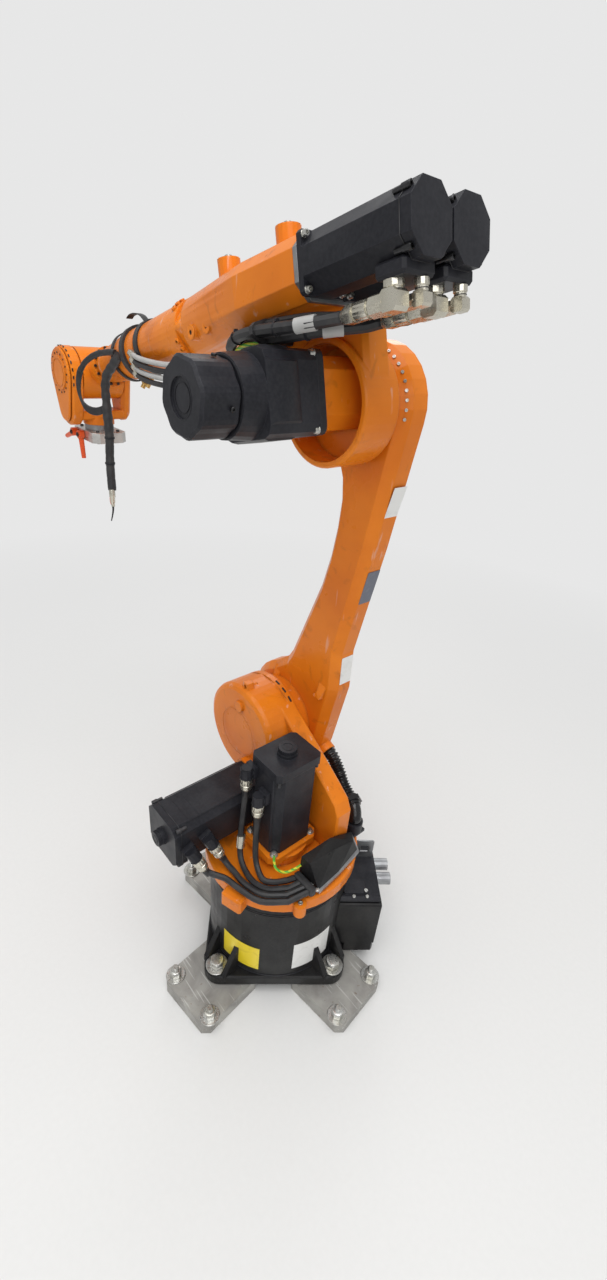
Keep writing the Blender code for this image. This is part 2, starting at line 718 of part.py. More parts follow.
def rotating_column():
    low = column_base()
    top = low + column_flange_thickness
    r = column_flange_radius
    flange = turned([(0, low), (r - column_edge, low), (r, low + column_edge), (r, top - column_edge), (r - column_edge, top),
                     (column_dish_radius, top), (column_dish_radius, top - column_dish_depth), (0, top - column_dish_depth)],
                    (0, 0, 0), (0, 0, 1))
    rear_wall = profiled(wall_outline(-column_flange_radius * wall_rear_share), -column_wall_outer, -column_wall_inner,
                         bevel=column_edge)
    front_case = profiled(wall_outline(shoulder_reach - drum_radius * case_rear_share), -column_wall_outer, -gear_case_inner,
                          bevel=column_edge)
    end = -drum_end
    seat = -drum_seat
    rib_low = drum_radius - drum_rib_depth
    drum = turned([(0, seat), (drum_radius, seat), (drum_radius, seat + drum_rib_width), (rib_low, seat + drum_rib_width),
                   (rib_low, seat + drum_rib_width * 1.4), (drum_radius, seat + drum_rib_width * 1.4),
                   (drum_radius, end - drum_fillet), (drum_radius - drum_fillet * 0.3, end - drum_fillet * 0.3),
                   (drum_radius - drum_fillet, end), (0, end)],
                  (shoulder_reach, 0, shoulder_height), (0, 1, 0))
    body = fused(flange, rear_wall, front_case, drum)
    ear_at = drum_radius - ear_height / 2
    ear = profiled([(-ear_width / 2, ear_at), (ear_width / 2, ear_at), (ear_width / 4, drum_radius + ear_height / 2),
                    (-ear_width / 4, drum_radius + ear_height / 2)], end - drum_fillet - ear_thickness, end - drum_fillet)
    ear.matrix_world = Matrix.Translation((shoulder_reach, 0, shoulder_height))
    plug = spun((shoulder_reach, end - overrun, shoulder_height + drum_radius * 0.62),
                (shoulder_reach, end + plug_rise, shoulder_height + drum_radius * 0.62), plug_radius, sides=small_sides)
    half_x = a1_motor_depth / 2 + a1_pad_margin
    half_y = a1_motor_width / 2 + a1_pad_margin
    pad_top = a1_pad_top()
    pad = block((a1_motor_x - half_x, a1_motor_y - half_y, pad_top - a1_pad_thickness),
                (a1_motor_x + half_x, a1_motor_y + half_y, pad_top), a1_pad_margin * 1.6, 1, "Z")
    stem = spun((a1_motor_x, a1_motor_y, top - column_dish_depth - overrun),
                (a1_motor_x, a1_motor_y, pad_top - a1_pad_thickness / 2), half_y * 0.86, half_y * 0.96)
    half = a2_motor_side / 2 + a2_pad_margin
    case_face = -gear_case_inner
    a2_z = a2_motor_height()
    a2_pad = block((a2_motor_x - half, case_face - overrun, a2_z - half),
                   (a2_motor_x + half, a2_motor_start - seat_gap, a2_z + half), a2_motor_chamfer, 1, "Y")
    stop = block((r - column_edge - overrun, -stop_block_width / 2, top - stop_block_height),
                 (r + stop_block_reach, stop_block_width / 2, top - column_edge), column_edge)
    stop.matrix_world = Matrix.Rotation(stop_block_angle, 4, "Z")
    stop_clear = turned([(0, low - stop_block_height), (base_radius + air_gap, low - stop_block_height),
                         (base_radius + air_gap, low), (0, low)], (0, 0, 0), (0, 0, 1))
    stop = carved(baked(stop), stop_clear)
    lug_x = (r + lug_radius / 4) * cos(lug_angle)
    lug_y = (r + lug_radius / 4) * sin(lug_angle)
    lug = spun((lug_x, lug_y, low + column_edge), (lug_x, lug_y, top), lug_radius, sides=small_sides)
    body = fused(body, baked(ear), plug, stem, pad, a2_pad, stop, lug)
    ear_hole_at = shoulder_height + drum_radius + ear_height * 0.12
    ear_hole = spun((shoulder_reach, end, ear_hole_at), (shoulder_reach, end - drum_fillet - ear_thickness * 2, ear_hole_at),
                    ear_hole_radius, sides=tiny_sides)
    return piece("rotating_column", carved(body, ear_hole), orange_paint, column_axis)


def upright_motor():
    low = a1_pad_top() + seat_gap
    top = low + a1_motor_height
    half_x, half_y = a1_motor_depth / 2, a1_motor_width / 2
    x, y = a1_motor_x, a1_motor_y
    body = block((x - half_x, y - half_y, low), (x + half_x, y + half_y, top), a1_motor_chamfer, 1, "Z")
    piece("a1_motor", body, motor_black, column_axis)
    cap_low = top + seat_gap
    cap_top = cap_low + a1_cap_height
    grow = a1_cap_overhang
    cap = block((x - half_x - grow, y - half_y - grow, cap_low), (x + half_x + grow, y + half_y + grow, cap_top),
                a1_motor_chamfer / 2, 1, "Z")
    button = turned([(0, cap_top - overrun), (a1_button_radius, cap_top - overrun),
                     (a1_button_radius, cap_top + a1_button_height * 0.4),
                     (a1_button_radius * 0.9, cap_top + a1_button_height * 0.4),
                     (a1_button_radius * 0.9, cap_top + a1_button_height), (0, cap_top + a1_button_height)],
                    (x, y, 0), (0, 0, 1), round_sides)
    piece("a1_motor_cap", fused(cap, button), motor_black, column_axis)


def level_motor():
    start = a2_motor_start
    end = start + a2_motor_length
    half = a2_motor_side / 2
    x, z = a2_motor_x, a2_motor_height()
    body = block((x - half, start, z - half), (x + half, end, z + half), a2_motor_chamfer, 1, "Y")
    piece("a2_motor", body, motor_black, column_axis)
    cap_start = end + seat_gap
    cap_end = cap_start + a2_cap_length
    cap = block((x - half, cap_start, z - half), (x + half, cap_end, z + half), a2_motor_chamfer, 1, "Y")
    button = turned([(0, -overrun), (a2_button_radius, -overrun), (a2_button_radius, a2_button_height * 0.4),
                     (a2_button_radius * 0.88, a2_button_height * 0.4),
                     (a2_button_radius * 0.88, a2_button_height), (0, a2_button_height)],
                    (x, cap_end, z), (0, 1, 0), round_sides)
    piece("a2_motor_cap", fused(cap, button), motor_black, column_axis)


def angled_plug(name, seat, out, way, material, parent):
    """A square foot on the motor's face, an angled head and a round nut, and where its lead starts."""
    seat, out, way = Vector(seat), Vector(out).normalized(), Vector(way).normalized()
    foot_start = seat + out * seat_gap
    elbow = seat + out * plug_standoff
    side = out.cross(way).normalized()
    across = side.cross(out)
    half = plug_foot / 2
    corners = ((-half, -half), (half, -half), (half, half), (-half, half))
    foot = lofted([[foot_start + out * t + side * a + across * b for a, b in corners]
                   for t in (0, plug_standoff * 0.55)])
    neck = spun(foot_start + out * plug_standoff * 0.4, elbow, plug_head_radius * 0.9, sides=small_sides)
    head = spun(elbow - way * plug_head_radius, elbow + way * plug_head_length, plug_head_radius, sides=tiny_sides)
    nut_end = elbow + way * (plug_head_length + plug_nut_length)
    nut = spun(elbow + way * (plug_head_length - overrun), nut_end, plug_nut_radius, plug_nut_radius * 0.8, sides=small_sides)
    piece(name, fused(foot, neck, head, nut), material, parent)
    return nut_end, way


def lower_plugs_and_leads():
    face_y = a1_motor_y + a1_motor_width / 2
    high = a1_pad_top() + a1_motor_height
    face_x = a2_motor_x - a2_motor_side / 2
    a2_end = a2_motor_start + a2_motor_length
    a2_z = a2_motor_height()
    down = (0, 0, -1)
    plugs = (
        ("a1_signal_plug", (a1_motor_x - a1_motor_depth * a1_signal_share, face_y, high - plug_foot * 2), (0, 1, 0), down,
         lead_1_shares),
        ("a1_power_plug", (a1_motor_x + a1_motor_depth * a1_power_share, face_y, high - plug_foot / 2), (0, 1, 0), down,
         lead_2_shares),
        ("a2_signal_plug", (face_x, a2_end - plug_foot * 2, a2_z + a2_motor_side * a2_signal_share), (-1, 0, 0),
         a2_plug_slant, lead_3_shares),
        ("a2_power_plug", (face_x, a2_end - plug_foot / 2, a2_z + a2_motor_side * a2_power_share), (-1, 0, 0),
         a2_plug_slant, lead_4_shares),
    )
    clamp_low = Vector(lead_clamp_low_share) * column_flange_radius
    clamp_high = Vector(lead_clamp_high_share) * column_flange_radius
    lift = Vector((0, 0, flange_top()))
    body = block(clamp_low + lift, clamp_high + lift, base_edge)
    for name, seat, out, way, shares in plugs:
        end, heading = angled_plug(name, seat, out, way, motor_black, column_axis)
        route = [end + heading * seat_gap, end + heading * plug_foot / 2] + scaled(shares, column_flange_radius, flange_top())
        body = fused(body, tube(route, lead_radius))
    piece("lower_leads", body, dark_rubber, column_axis)
    route = scaled(earth_lead_shares, column_flange_radius, flange_top())
    piece("earth_lead", tube(route, earth_lead_radius), earth_green, column_axis)


def cable_cover():
    """The faceted cover at the back of the column, its band, and the hose from it to the link arm."""
    unit = column_flange_radius
    band_low = flange_top() + seat_gap
    low = band_low + band_height + seat_gap
    band = profiled(flat(band_shares, unit), band_low, band_low + band_height, "XY", base_edge)
    piece("cover_band", band, grey_metal, column_axis)
    rings = [[(x, y, low) for x, y in flat(cover_low_shares, unit)],
             [(x, y, low + rise * cover_height) for (x, y), rise in zip(flat(cover_high_shares, unit), cover_rise_shares)]]
    piece("cable_cover", lofted(rings), motor_black, column_axis)
    foot_top = band_low + base_edge * 2
    foot = profiled(flat(hose_foot_shares, unit), band_low, foot_top, "XY")
    x, y = hose_collar_share[0] * unit, hose_collar_share[1] * unit
    collar_top = foot_top + hose_collar_length
    collar = spun((x, y, band_low + base_edge), (x, y, collar_top), hose_collar_radius)
    piece("hose_clamp", fused(foot, collar), motor_black, column_axis)
    angle = link_collar_angle - link_lean
    outward = Vector((cos(angle), 0, sin(angle)))
    middle = Vector((shoulder_reach, -(link_outer + link_inner) / 2, shoulder_height))
    end = middle + outward * (link_foot_radius + link_collar_length + seat_gap)
    start = Vector((x, y, collar_top + seat_gap))
    route = [start, start + Vector((0, 0, hose_radius / 2))] + scaled(hose_route_shares, unit, flange_top())
    route += [end + outward * hose_radius, end]
    piece("link_hose", tube(route, hose_radius, 5, 3), dark_rubber, column_axis)


def link_outline():
    """Side view of the link arm: round foot and head, flat back, hollowed front."""
    foot, head, long = link_foot_radius, link_head_radius, link_length
    points = arc((0, 0), foot, pi, tau + link_foot_angle, 20)
    points += [(across * foot, along * long) for across, along in link_front_shares]
    points += arc((0, long), head, -link_head_angle, pi, 18)
    points += [(across * foot, along * long) for across, along in link_rear_shares]
    return points


def link_arm():
    beam = profiled(link_outline(), -link_outer, -link_inner, bevel=link_chamfer)
    foot_hub = turned([(0, 0), (link_hub_radius, 0), (link_hub_radius, link_inner - drum_seat - joint_gap + overrun),
                       (0, link_inner - drum_seat - joint_gap + overrun)],
                      (0, -link_inner - overrun, 0), (0, 1, 0))
    head_hub = turned([(0, 0), (link_head_hub_radius, 0),
                       (link_head_hub_radius, link_inner - elbow_seat - joint_gap + overrun),
                       (0, link_inner - elbow_seat - joint_gap + overrun)],
                      (0, -link_inner - overrun, link_length), (0, 1, 0))
    gussets = []
    for x, z in gusset_places:
        half, long = gusset_width / 2, gusset_length
        low = -link_inner - overrun
        high = -link_inner + gusset_rise * 0.5
        base = [(x - half, low, z), (x + half, low, z), (x + half, low, z + long), (x - half, low, z + long)]
        top = [(x - half * 0.8, high, z), (x + half * 0.8, high, z), (x + half * 0.1, high * 1.01, z + long * 0.3),
               (x - half * 0.1, high * 1.01, z + long * 0.3)]
        gussets.append(lofted([base, top]))
    middle = -(link_outer + link_inner) / 2
    reach = link_foot_radius + link_collar_length
    x, z = cos(link_collar_angle), sin(link_collar_angle)
    start = link_foot_radius - link_collar_length
    collar = spun((x * start, middle, z * start), (x * reach, middle, z * reach), hose_collar_radius)
    body = fused(beam, foot_hub, head_hub, collar, *gussets)
    return piece("link_arm", body, orange_paint, shoulder_axis)


def section(x, half_width, half_height, chamfer, roundness, radius, per_side=4):
    """A ring across the forearm, from a chamfered rectangle (roundness 0) to a circle (roundness 1)."""
    corners = chamfered_ring(x, half_width, half_height, chamfer)
    count = len(corners)
    points = []
    for i, (a, b) in enumerate(zip(corners, corners[1:] + corners[:1])):
        for j in range(per_side):
            t = j / per_side
            angle = -pi / 2 - pi / 8 + (i + t) * tau / count
            flat = Vector(a).lerp(Vector(b), t)
            ring = Vector((x, radius * cos(angle), radius * sin(angle)))
            points.append(flat.lerp(ring, roundness))
    return points


def forearm_casting():
    seat, face = -elbow_seat, -elbow_open
    r, wall = elbow_radius, elbow_wall
    drum = turned([(0, seat), (r, seat), (r, face - wall * 0.3), (r - wall * 0.3, face), (r - wall, face),
                   (r - wall * 1.4, face - elbow_bowl_depth), (0, face - elbow_bowl_depth)],
                  (0, 0, 0), (0, 1, 0))
    h, z = rear_half_height, elbow_offset
    sections = [
        section(-rear_face, rear_half_width, h, rear_chamfer, 0, tube_radius),
        section(rear_face * 0.5, rear_half_width, h * 1.04, rear_chamfer, 0, tube_radius),
        section(tube_start, tube_radius, tube_radius, rear_chamfer, 0.9, tube_radius),
        section(tube_start * 1.12, tube_radius, tube_radius, rear_chamfer, 1, tube_radius),
        section(tube_end * 0.96, tube_nose_radius, tube_nose_radius, rear_chamfer, 1, tube_nose_radius),
        section(tube_end, tube_nose_radius, tube_nose_radius, rear_chamfer, 1, tube_nose_radius * 0.95),
    ]
    beam = lofted(sections)
    beam.matrix_world = Matrix.Translation((0, 0, z))
    web = profiled([(-r * 0.96, 0), (-rear_face * 0.98, z - h * 0.6), (-rear_face * 0.9, z + h * 0.4), (r * 0.9, z + h * 0.4),
                    (r * 1.3, z - h * 0.6), (r * 0.96, r * 0.2)], seat + wall, face - wall, bevel=base_edge * 2)
    hollow = spun((0, face + overrun, 0), (0, face - elbow_bowl_depth, 0), r - wall * 1.2, sides=wide_sides)
    half = a3_housing_half
    housing = block((-half, seat + wall, a3_motor_rise - half), (half, a3_flange_at - seat_gap, a3_motor_rise + half),
                    half * 0.4, 1, "Y")
    body = fused(carved(fused(drum, web), hollow), housing, baked(beam))
    for place in side_boss_places:
        low = z - h / 2
        boss = spun((place, tube_radius / 2, low), (place, tube_radius + boss_height, low), boss_radius, sides=small_sides)
        body = fused(body, boss)
    for along, across in lift_boss_places:
        boss = spun((along, across, z), (along, across, z + rear_half_height + lift_boss_height), lift_boss_radius,
                    sides=small_sides)
        body = fused(body, boss)
    pockets = []
    for quarter in range(4):
        side = pocket_angle if quarter % 2 else -pocket_angle
        pocket = block((pocket_at, -pocket_length / 2, tube_radius - pocket_depth),
                       (pocket_at + pocket_width, pocket_length / 2, tube_radius * 2))
        turn = side + (pi / 2 if quarter < 2 else -pi / 2)
        pocket.matrix_world = Matrix.Translation((0, 0, z)) @ Matrix.Rotation(turn, 4, "X")
        pockets.append(baked(pocket))
    return piece("forearm_casting", carved(body, *pockets), orange_paint, elbow_axis)


def third_motor():
    half = a3_motor_side / 2
    start = a3_flange_at
    end = start + a3_body_length
    body = block((-half, start, a3_motor_rise - half), (half, end, a3_motor_rise + half), a3_body_chamfer, 2, "Y")
    neck = spun((0, end - overrun, a3_motor_rise), (0, end + a3_neck_length, a3_motor_rise), half * 1.02, a3_neck_radius)
    piece("a3_motor", fused(body, neck), motor_black, elbow_axis)
    cap_start = end + a3_neck_length + seat_gap
    lobed = []
    for i in range(wide_sides):
        angle = tau * i / wide_sides
        radius = a3_cap_radius - a3_cap_lobe_depth * (0.5 - 0.5 * cos(a3_cap_lobes * angle))
        lobed.append((radius * cos(angle), a3_motor_rise + radius * sin(angle)))
    cap = profiled(lobed, cap_start, cap_start + a3_cap_length, bevel=column_edge)
    recess = spun((0, cap_start + a3_cap_length + overrun, a3_motor_rise),
                  (0, cap_start + a3_cap_length - a3_cap_lobe_depth, a3_motor_rise), a3_cap_radius * 0.5)
    piece("a3_motor_cap", carved(cap, recess), motor_black, elbow_axis)


def wrist_motors():
    z = elbow_offset
    plate = block((-rear_face - seat_gap - adaptor_thickness, -rear_half_width, z - rear_half_height),
                  (-rear_face - seat_gap, rear_half_width, z + rear_half_height), rear_chamfer, 1, "X")
    piece("rear_adaptor_plate", plate, grey_metal, elbow_axis)
    start = -rear_face - adaptor_thickness - seat_gap * 2
    half = wrist_motor_side / 2
    ends = {}
    for name, side in (("left", 1), ("right", -1)):
        y = side * (half + wrist_motor_gap / 2)
        end = start - wrist_motor_length
        flange = block((start - wrist_motor_flange, y - half, z - half), (start, y + half, z + half), base_edge, 1, "X")
        body = block((end, y - half, z - half), (start - wrist_motor_flange / 2, y + half, z + half),
                     wrist_motor_chamfer, 1, "X")
        box = block((end, y - half * 0.8, z - half - terminal_box_height),
                    (end + terminal_box_length, y + half * 0.8, z - half + overrun), base_edge)
        piece("wrist_motor_" + name, fused(body, flange, box), motor_black, elbow_axis)
        cap_start = end - seat_gap
        cap = block((cap_start - wrist_motor_cap, y - half, z - half), (cap_start, y + half, z + half),
                    wrist_motor_chamfer, 1, "X")
        piece("wrist_motor_" + name + "_cap", cap, motor_black, elbow_axis)
        top = z - half - terminal_box_height - seat_gap
        middle = y
        for kind, radius, spot, shift in (("power", elbow_plug_radius, 0.62, 0.38), ("signal", small_plug_radius, 0.2, -0.36)):
            x = end + terminal_box_length * spot
            y = middle + half * shift
            drop = elbow_plug_drop
            down = spun((x, y, top), (x, y, top - drop), radius, sides=small_sides)
            half_corner = radius * 1.12
            corner = block((x - half_corner, y - half_corner, top - drop - half_corner),
                           (x + half_corner, y + half_corner, top - drop + half_corner), radius * 0.4, 1, "Y")
            back = spun((x, y, top - drop), (x + elbow_plug_reach * (0.6 + spot * 0.4), y, top - drop),
                        radius, radius * 0.8, sides=small_sides)
            piece("wrist_" + kind + "_plug_" + name, fused(corner, down, back), bright_metal, elbow_axis)
            ends[kind, name] = Vector((x + elbow_plug_reach * (0.6 + spot * 0.4) + seat_gap, y, top - drop))
    return ends


def forearm_leads(ends):
    """The four leads under the forearm, held together by a clamp above the third motor."""
    clamp = profiled(flat(lead_tie_shares, elbow_offset), -lead_tie_length / 2, lead_tie_length / 2, "YZ")
    clamp.matrix_world = Matrix.Translation((-lead_tie_at, 0, 0))
    body = baked(clamp)
    for kind, name, shares, radius in (
            ("power", "left", left_power_shares, power_lead_radius),
            ("power", "right", right_power_shares, power_lead_radius),
            ("signal", "left", left_signal_shares, signal_lead_radius),
            ("signal", "right", right_signal_shares, signal_lead_radius)):
        start = ends[kind, name]
        straight = start + Vector((signal_lead_radius, 0, 0))
        body = fused(body, tube([start, straight] + scaled(shares, elbow_offset), radius))
    piece("forearm_leads", body, dark_rubber, elbow_axis)


def wrist_roll_housing():
    barrel_x = forearm_length - tube_end
    hub, neck, ring = roll_hub_radius, roll_neck_radius, roll_ring_radius
    ring_at = barrel_x - barrel_radius * 1.6
    body = turned([(0, joint_gap), (hub, joint_gap), (hub, strap_at + strap_width * 2), (neck, ring_at - roll_ring_length),
                   (ring, ring_at - roll_ring_length), (ring, ring_at), (neck, ring_at + overrun), (neck, barrel_x), (0, barrel_x)],
                  (0, 0, 0), (1, 0, 0))
    barrel = turned([(0, -barrel_half_width), (barrel_radius, -barrel_half_width), (barrel_radius, barrel_half_width),
                     (0, barrel_half_width)], (barrel_x, 0, 0), (0, 1, 0))
    piece("wrist_roll_housing", fused(body, barrel), orange_paint, roll_axis)
    band = spun((strap_at, 0, 0), (strap_at + strap_width, 0, 0), strap_radius)
    inside = spun((strap_at - overrun, 0, 0), (strap_at + strap_width + overrun, 0, 0), hub + seat_gap)
    piece("dress_strap", carved(band, inside), dark_rubber, roll_axis)
    piece("dress_sleeve", tube(scaled(sleeve_shares, elbow_offset), sleeve_radius), dark_rubber, roll_axis)
    piece("dress_loop", tube(scaled(loop_shares, elbow_offset), loop_radius), dark_rubber, roll_axis)


def capsule(start_radius, end_radius, length, steps=14):
    """A tapered round-ended outline from the bend axis towards the tool."""
    tilt = atan2(start_radius - end_radius, length)
    near = arc((0, 0), start_radius, pi / 2 - tilt, 3 * pi / 2 + tilt, steps)
    far = arc((length, 0), end_radius, -pi / 2 + tilt, pi / 2 - tilt, steps)
    return near + far


def wrist_swing_frame():
    near_low = barrel_half_width + joint_gap
    near = profiled(capsule(swing_arm_radius, swing_neck_radius, flange_reach * 0.62), near_low,
                    near_low + swing_arm_thickness, bevel=base_edge)
    far = profiled(capsule(swing_far_arm_radius, swing_neck_radius * 0.8, flange_reach * 0.62),
                   -near_low - swing_far_arm_thickness, -near_low, bevel=base_edge * 2)
    bridge = block((swing_bridge_near, -near_low - swing_far_arm_thickness / 2, -swing_neck_radius * 0.8),
                   (flange_reach - tool_flange_thickness * 2, near_low + swing_arm_thickness / 2, swing_neck_radius * 0.8),
                   column_edge, 1, "Y")
    neck = spun((swing_bridge_near + overrun, 0, 0), (flange_reach - tool_flange_thickness - joint_gap, 0, 0),
                swing_neck_radius)
    piece("wrist_swing_frame", fused(near, far, bridge, neck), orange_paint, bend_axis)
    cover_low = near_low + swing_arm_thickness + seat_gap
    cover = profiled(capsule(swing_arm_radius * 0.95, swing_neck_radius * 0.85, flange_reach * 0.6), cover_low,
                     cover_low + swing_cover_thickness, bevel=base_edge)
    hub = spun((0, cover_low + swing_cover_thickness / 2, 0), (0, cover_low + swing_cover_thickness * 1.5, 0),
               swing_hub_radius)
    piece("wrist_belt_cover", fused(cover, hub), orange_paint, bend_axis)


def tool_end():
    flange = spun((-tool_flange_thickness, 0, 0), (0, 0, 0), tool_flange_radius * 1.4)
    piece("tool_flange", flange, grey_metal, flange_axis)
    long, wide, deep = tool_plate_length / 2, tool_plate_width / 2, tool_plate_thickness
    plate = block((seat_gap, -wide, -long), (deep, wide, long), tool_plate_chamfer, 1, "X")
    piece("tool_plate", plate, bright_metal, flange_axis)
    inset = long - tool_plate_chamfer - lever_radius * 2
    for place, z, swing in (("front", inset, lever_front_angle), ("rear", 0, lever_rear_angle)):
        root = Vector((deep / 2, wide + lever_radius + seat_gap, z))
        way = Vector((sin(swing), 0, cos(swing)))
        pivot = spun(root - Vector((0, lever_radius, 0)), root + Vector((0, lever_radius, 0)), lever_radius * 1.5, sides=small_sides)
        arm = spun(root, root + way * lever_length, lever_radius, lever_radius * 0.8, sides=tiny_sides)
        piece("tool_lever_" + place, fused(pivot, arm), lever_orange, flange_axis)


base_frame()
bedplates()
junction_box()
rotating_column()
upright_motor()
level_motor()
lower_plugs_and_leads()
cable_cover()
link_arm()
forearm_casting()
third_motor()
forearm_leads(wrist_motors())
wrist_roll_housing()
wrist_swing_frame()
tool_end()
bpy.data.collections.remove(workshop)
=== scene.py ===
"""Looks of the industrial robot arm: camera, light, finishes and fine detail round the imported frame."""
import json
from math import cos, pi, radians, sin, tau

import bmesh
import bpy
from mathutils import Matrix, Vector


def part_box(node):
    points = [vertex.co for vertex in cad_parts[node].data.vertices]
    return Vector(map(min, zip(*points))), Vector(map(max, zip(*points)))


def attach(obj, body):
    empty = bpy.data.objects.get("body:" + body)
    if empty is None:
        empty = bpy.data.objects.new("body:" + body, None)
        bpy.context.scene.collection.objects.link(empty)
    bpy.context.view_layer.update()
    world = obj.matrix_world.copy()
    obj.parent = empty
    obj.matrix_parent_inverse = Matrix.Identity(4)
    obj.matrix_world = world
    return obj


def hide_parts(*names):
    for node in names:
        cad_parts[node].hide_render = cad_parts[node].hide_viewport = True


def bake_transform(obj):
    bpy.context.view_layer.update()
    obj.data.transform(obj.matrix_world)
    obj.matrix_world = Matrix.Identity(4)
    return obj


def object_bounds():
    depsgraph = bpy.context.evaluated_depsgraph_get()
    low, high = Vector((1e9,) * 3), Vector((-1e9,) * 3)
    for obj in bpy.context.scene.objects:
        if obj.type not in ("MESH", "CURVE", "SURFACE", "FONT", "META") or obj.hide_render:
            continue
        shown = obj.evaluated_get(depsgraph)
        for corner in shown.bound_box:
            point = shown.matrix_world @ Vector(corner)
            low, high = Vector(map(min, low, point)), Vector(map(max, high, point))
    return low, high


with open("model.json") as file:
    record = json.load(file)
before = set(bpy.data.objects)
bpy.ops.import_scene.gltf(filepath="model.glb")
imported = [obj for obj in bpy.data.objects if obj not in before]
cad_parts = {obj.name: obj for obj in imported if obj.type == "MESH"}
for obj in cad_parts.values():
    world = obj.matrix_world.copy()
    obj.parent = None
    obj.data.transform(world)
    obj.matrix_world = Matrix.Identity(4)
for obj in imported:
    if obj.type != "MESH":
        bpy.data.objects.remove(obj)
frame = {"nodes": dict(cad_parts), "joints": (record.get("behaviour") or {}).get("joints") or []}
cad_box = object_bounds()
nodes = frame["nodes"]
scene = bpy.context.scene
joints = {joint["name"]: joint for joint in frame["joints"]}

# The photograph's frame and the camera that took it
FRAME_PX = (607, 1280)
FOCAL_PX = 551.1
YAW, PITCH, ROLL = -2.3359, 0.5169, -0.0945
EYE = Vector((-0.5177, 0.489, 1.0794))

# Sizes shared with the frame, in metres, and the turn of its base
BASE_TURN = radians(51.3)
BARREL_RADIUS = 0.131
BASE_PLATE_TOP = 0.025
BEDPLATE_TOP = -0.0003
FLANGE_TOP = 0.2563
DRUM_RADIUS = 0.096
LINK_OUTER_Y = -0.164
LINK_LENGTH = 0.6
ELBOW_OFFSET = 0.124
TUBE_END = 0.354
HOSE_RADIUS = 0.014
SWING_ARM_RADIUS = 0.047
BELT_COVER_Y = 0.0676

# Linear colours
ORANGE = (0.8, 0.225, 0.012)
ORANGE_DEEP = (0.66, 0.16, 0.008)
BLACK_PAINT = (0.009, 0.009, 0.01)
MOTOR_BLACK = (0.014, 0.0145, 0.0185)
GREY_STEEL = (0.4, 0.41, 0.42)
ZINC = (0.62, 0.62, 0.6)
NICKEL = (0.66, 0.63, 0.54)
PLATE_GREY = (0.42, 0.41, 0.38)
RUBBER = (0.02, 0.02, 0.022)
BRASS = (0.72, 0.46, 0.16)
YELLOW = (0.86, 0.66, 0.02)
PALE = (0.8, 0.8, 0.78)
GREEN = (0.1, 0.42, 0.04)
LEVER_ORANGE = (0.86, 0.115, 0.022)
FLOOR_GREY = (0.78, 0.78, 0.77)
BACKDROP = (0.8, 0.8, 0.8, 1)


def photo_camera():
    """The camera at the photograph's place, looking the photograph's way."""
    ahead = Vector((-sin(YAW) * cos(PITCH), cos(YAW) * cos(PITCH), -sin(PITCH)))
    level = Vector((cos(YAW), sin(YAW), 0))
    down = ahead.cross(level)
    right = cos(ROLL) * level + sin(ROLL) * down
    below = -sin(ROLL) * level + cos(ROLL) * down
    data = bpy.data.cameras.new("photo_camera")
    data.sensor_fit = "HORIZONTAL"
    data.sensor_width = 36
    data.lens = 36 * FOCAL_PX / FRAME_PX[0]
    data.clip_start = 0.01
    camera = bpy.data.objects.new("photo_camera", data)
    scene.collection.objects.link(camera)
    pose = Matrix((right, -below, -ahead)).transposed().to_4x4()
    pose.translation = EYE
    camera.matrix_world = pose
    scene.camera = camera


photo_camera()


def joint_point(name):
    return Vector(joints[name]["pos_m"])


def basis(x_axis, y_axis, origin):
    axes = Matrix((x_axis, y_axis, x_axis.cross(y_axis))).transposed().to_4x4()
    axes.translation = origin
    return axes


ACROSS = Vector((0, 1, 0))
SHOULDER = joint_point("a2_lean")
ELBOW = joint_point("a3_lift")
BEND = joint_point("a5_bend")
LINK_WAY = (ELBOW - SHOULDER).normalized()
FOREARM_WAY = Vector(joints["a4_roll"]["axis"]).normalized()
world_place = Matrix.Identity(4)
base_place = Matrix.Rotation(BASE_TURN, 4, "Z")
link_place = basis(ACROSS.cross(LINK_WAY), ACROSS, SHOULDER)
elbow_place = basis(FOREARM_WAY, ACROSS, ELBOW)
roll_place = elbow_place @ Matrix.Translation((TUBE_END, 0, ELBOW_OFFSET))
bend_place = basis(Vector((0, 0, -1)), ACROSS, BEND)


def leftward(spot):
    """A place at a spot, with its z axis along +Y and its y axis pointing down."""
    return basis(Vector((1, 0, 0)), Vector((0, 0, -1)), Vector(spot))


def raised(place, height):
    return place @ Matrix.Translation((0, 0, height))


def facing(place, spot, outward):
    """A place at a spot of another place, with its z axis pointing outward."""
    turn = Vector(outward).to_track_quat("Z", "X").to_matrix().to_4x4()
    return place @ Matrix.Translation(spot) @ turn


def rounded(width, depth, corner, steps=3):
    """The outline of a rectangle with round corners, about its middle."""
    outline = []
    for quarter, (x, y) in enumerate(((1, 1), (-1, 1), (-1, -1), (1, -1))):
        centre = Vector((x * (width / 2 - corner), y * (depth / 2 - corner)))
        for i in range(steps + 1):
            angle = pi / 2 * (quarter + i / steps)
            outline.append((centre.x + corner * cos(angle), centre.y + corner * sin(angle)))
    return outline


def chamfered(width, depth, chamfer):
    return rounded(width, depth, chamfer, 1)


def smooth_path(points, steps):
    """Points on a smooth curve through the given ones."""
    spots = [Vector(point) for point in points]
    ends = [2 * spots[0] - spots[1]] + spots + [2 * spots[-1] - spots[-2]]
    path = []
    for a, b, c, d in zip(ends, ends[1:], ends[2:], ends[3:]):
        for i in range(steps):
            t = i / steps
            path.append((2 * b + (c - a) * t + (2 * a - 5 * b + 4 * c - d) * t ** 2
                         + (3 * b - a - 3 * c + d) * t ** 3) / 2)
    return path + [spots[-1]]


def path_length(path):
    return sum((b - a).length for a, b in zip(path, path[1:]))


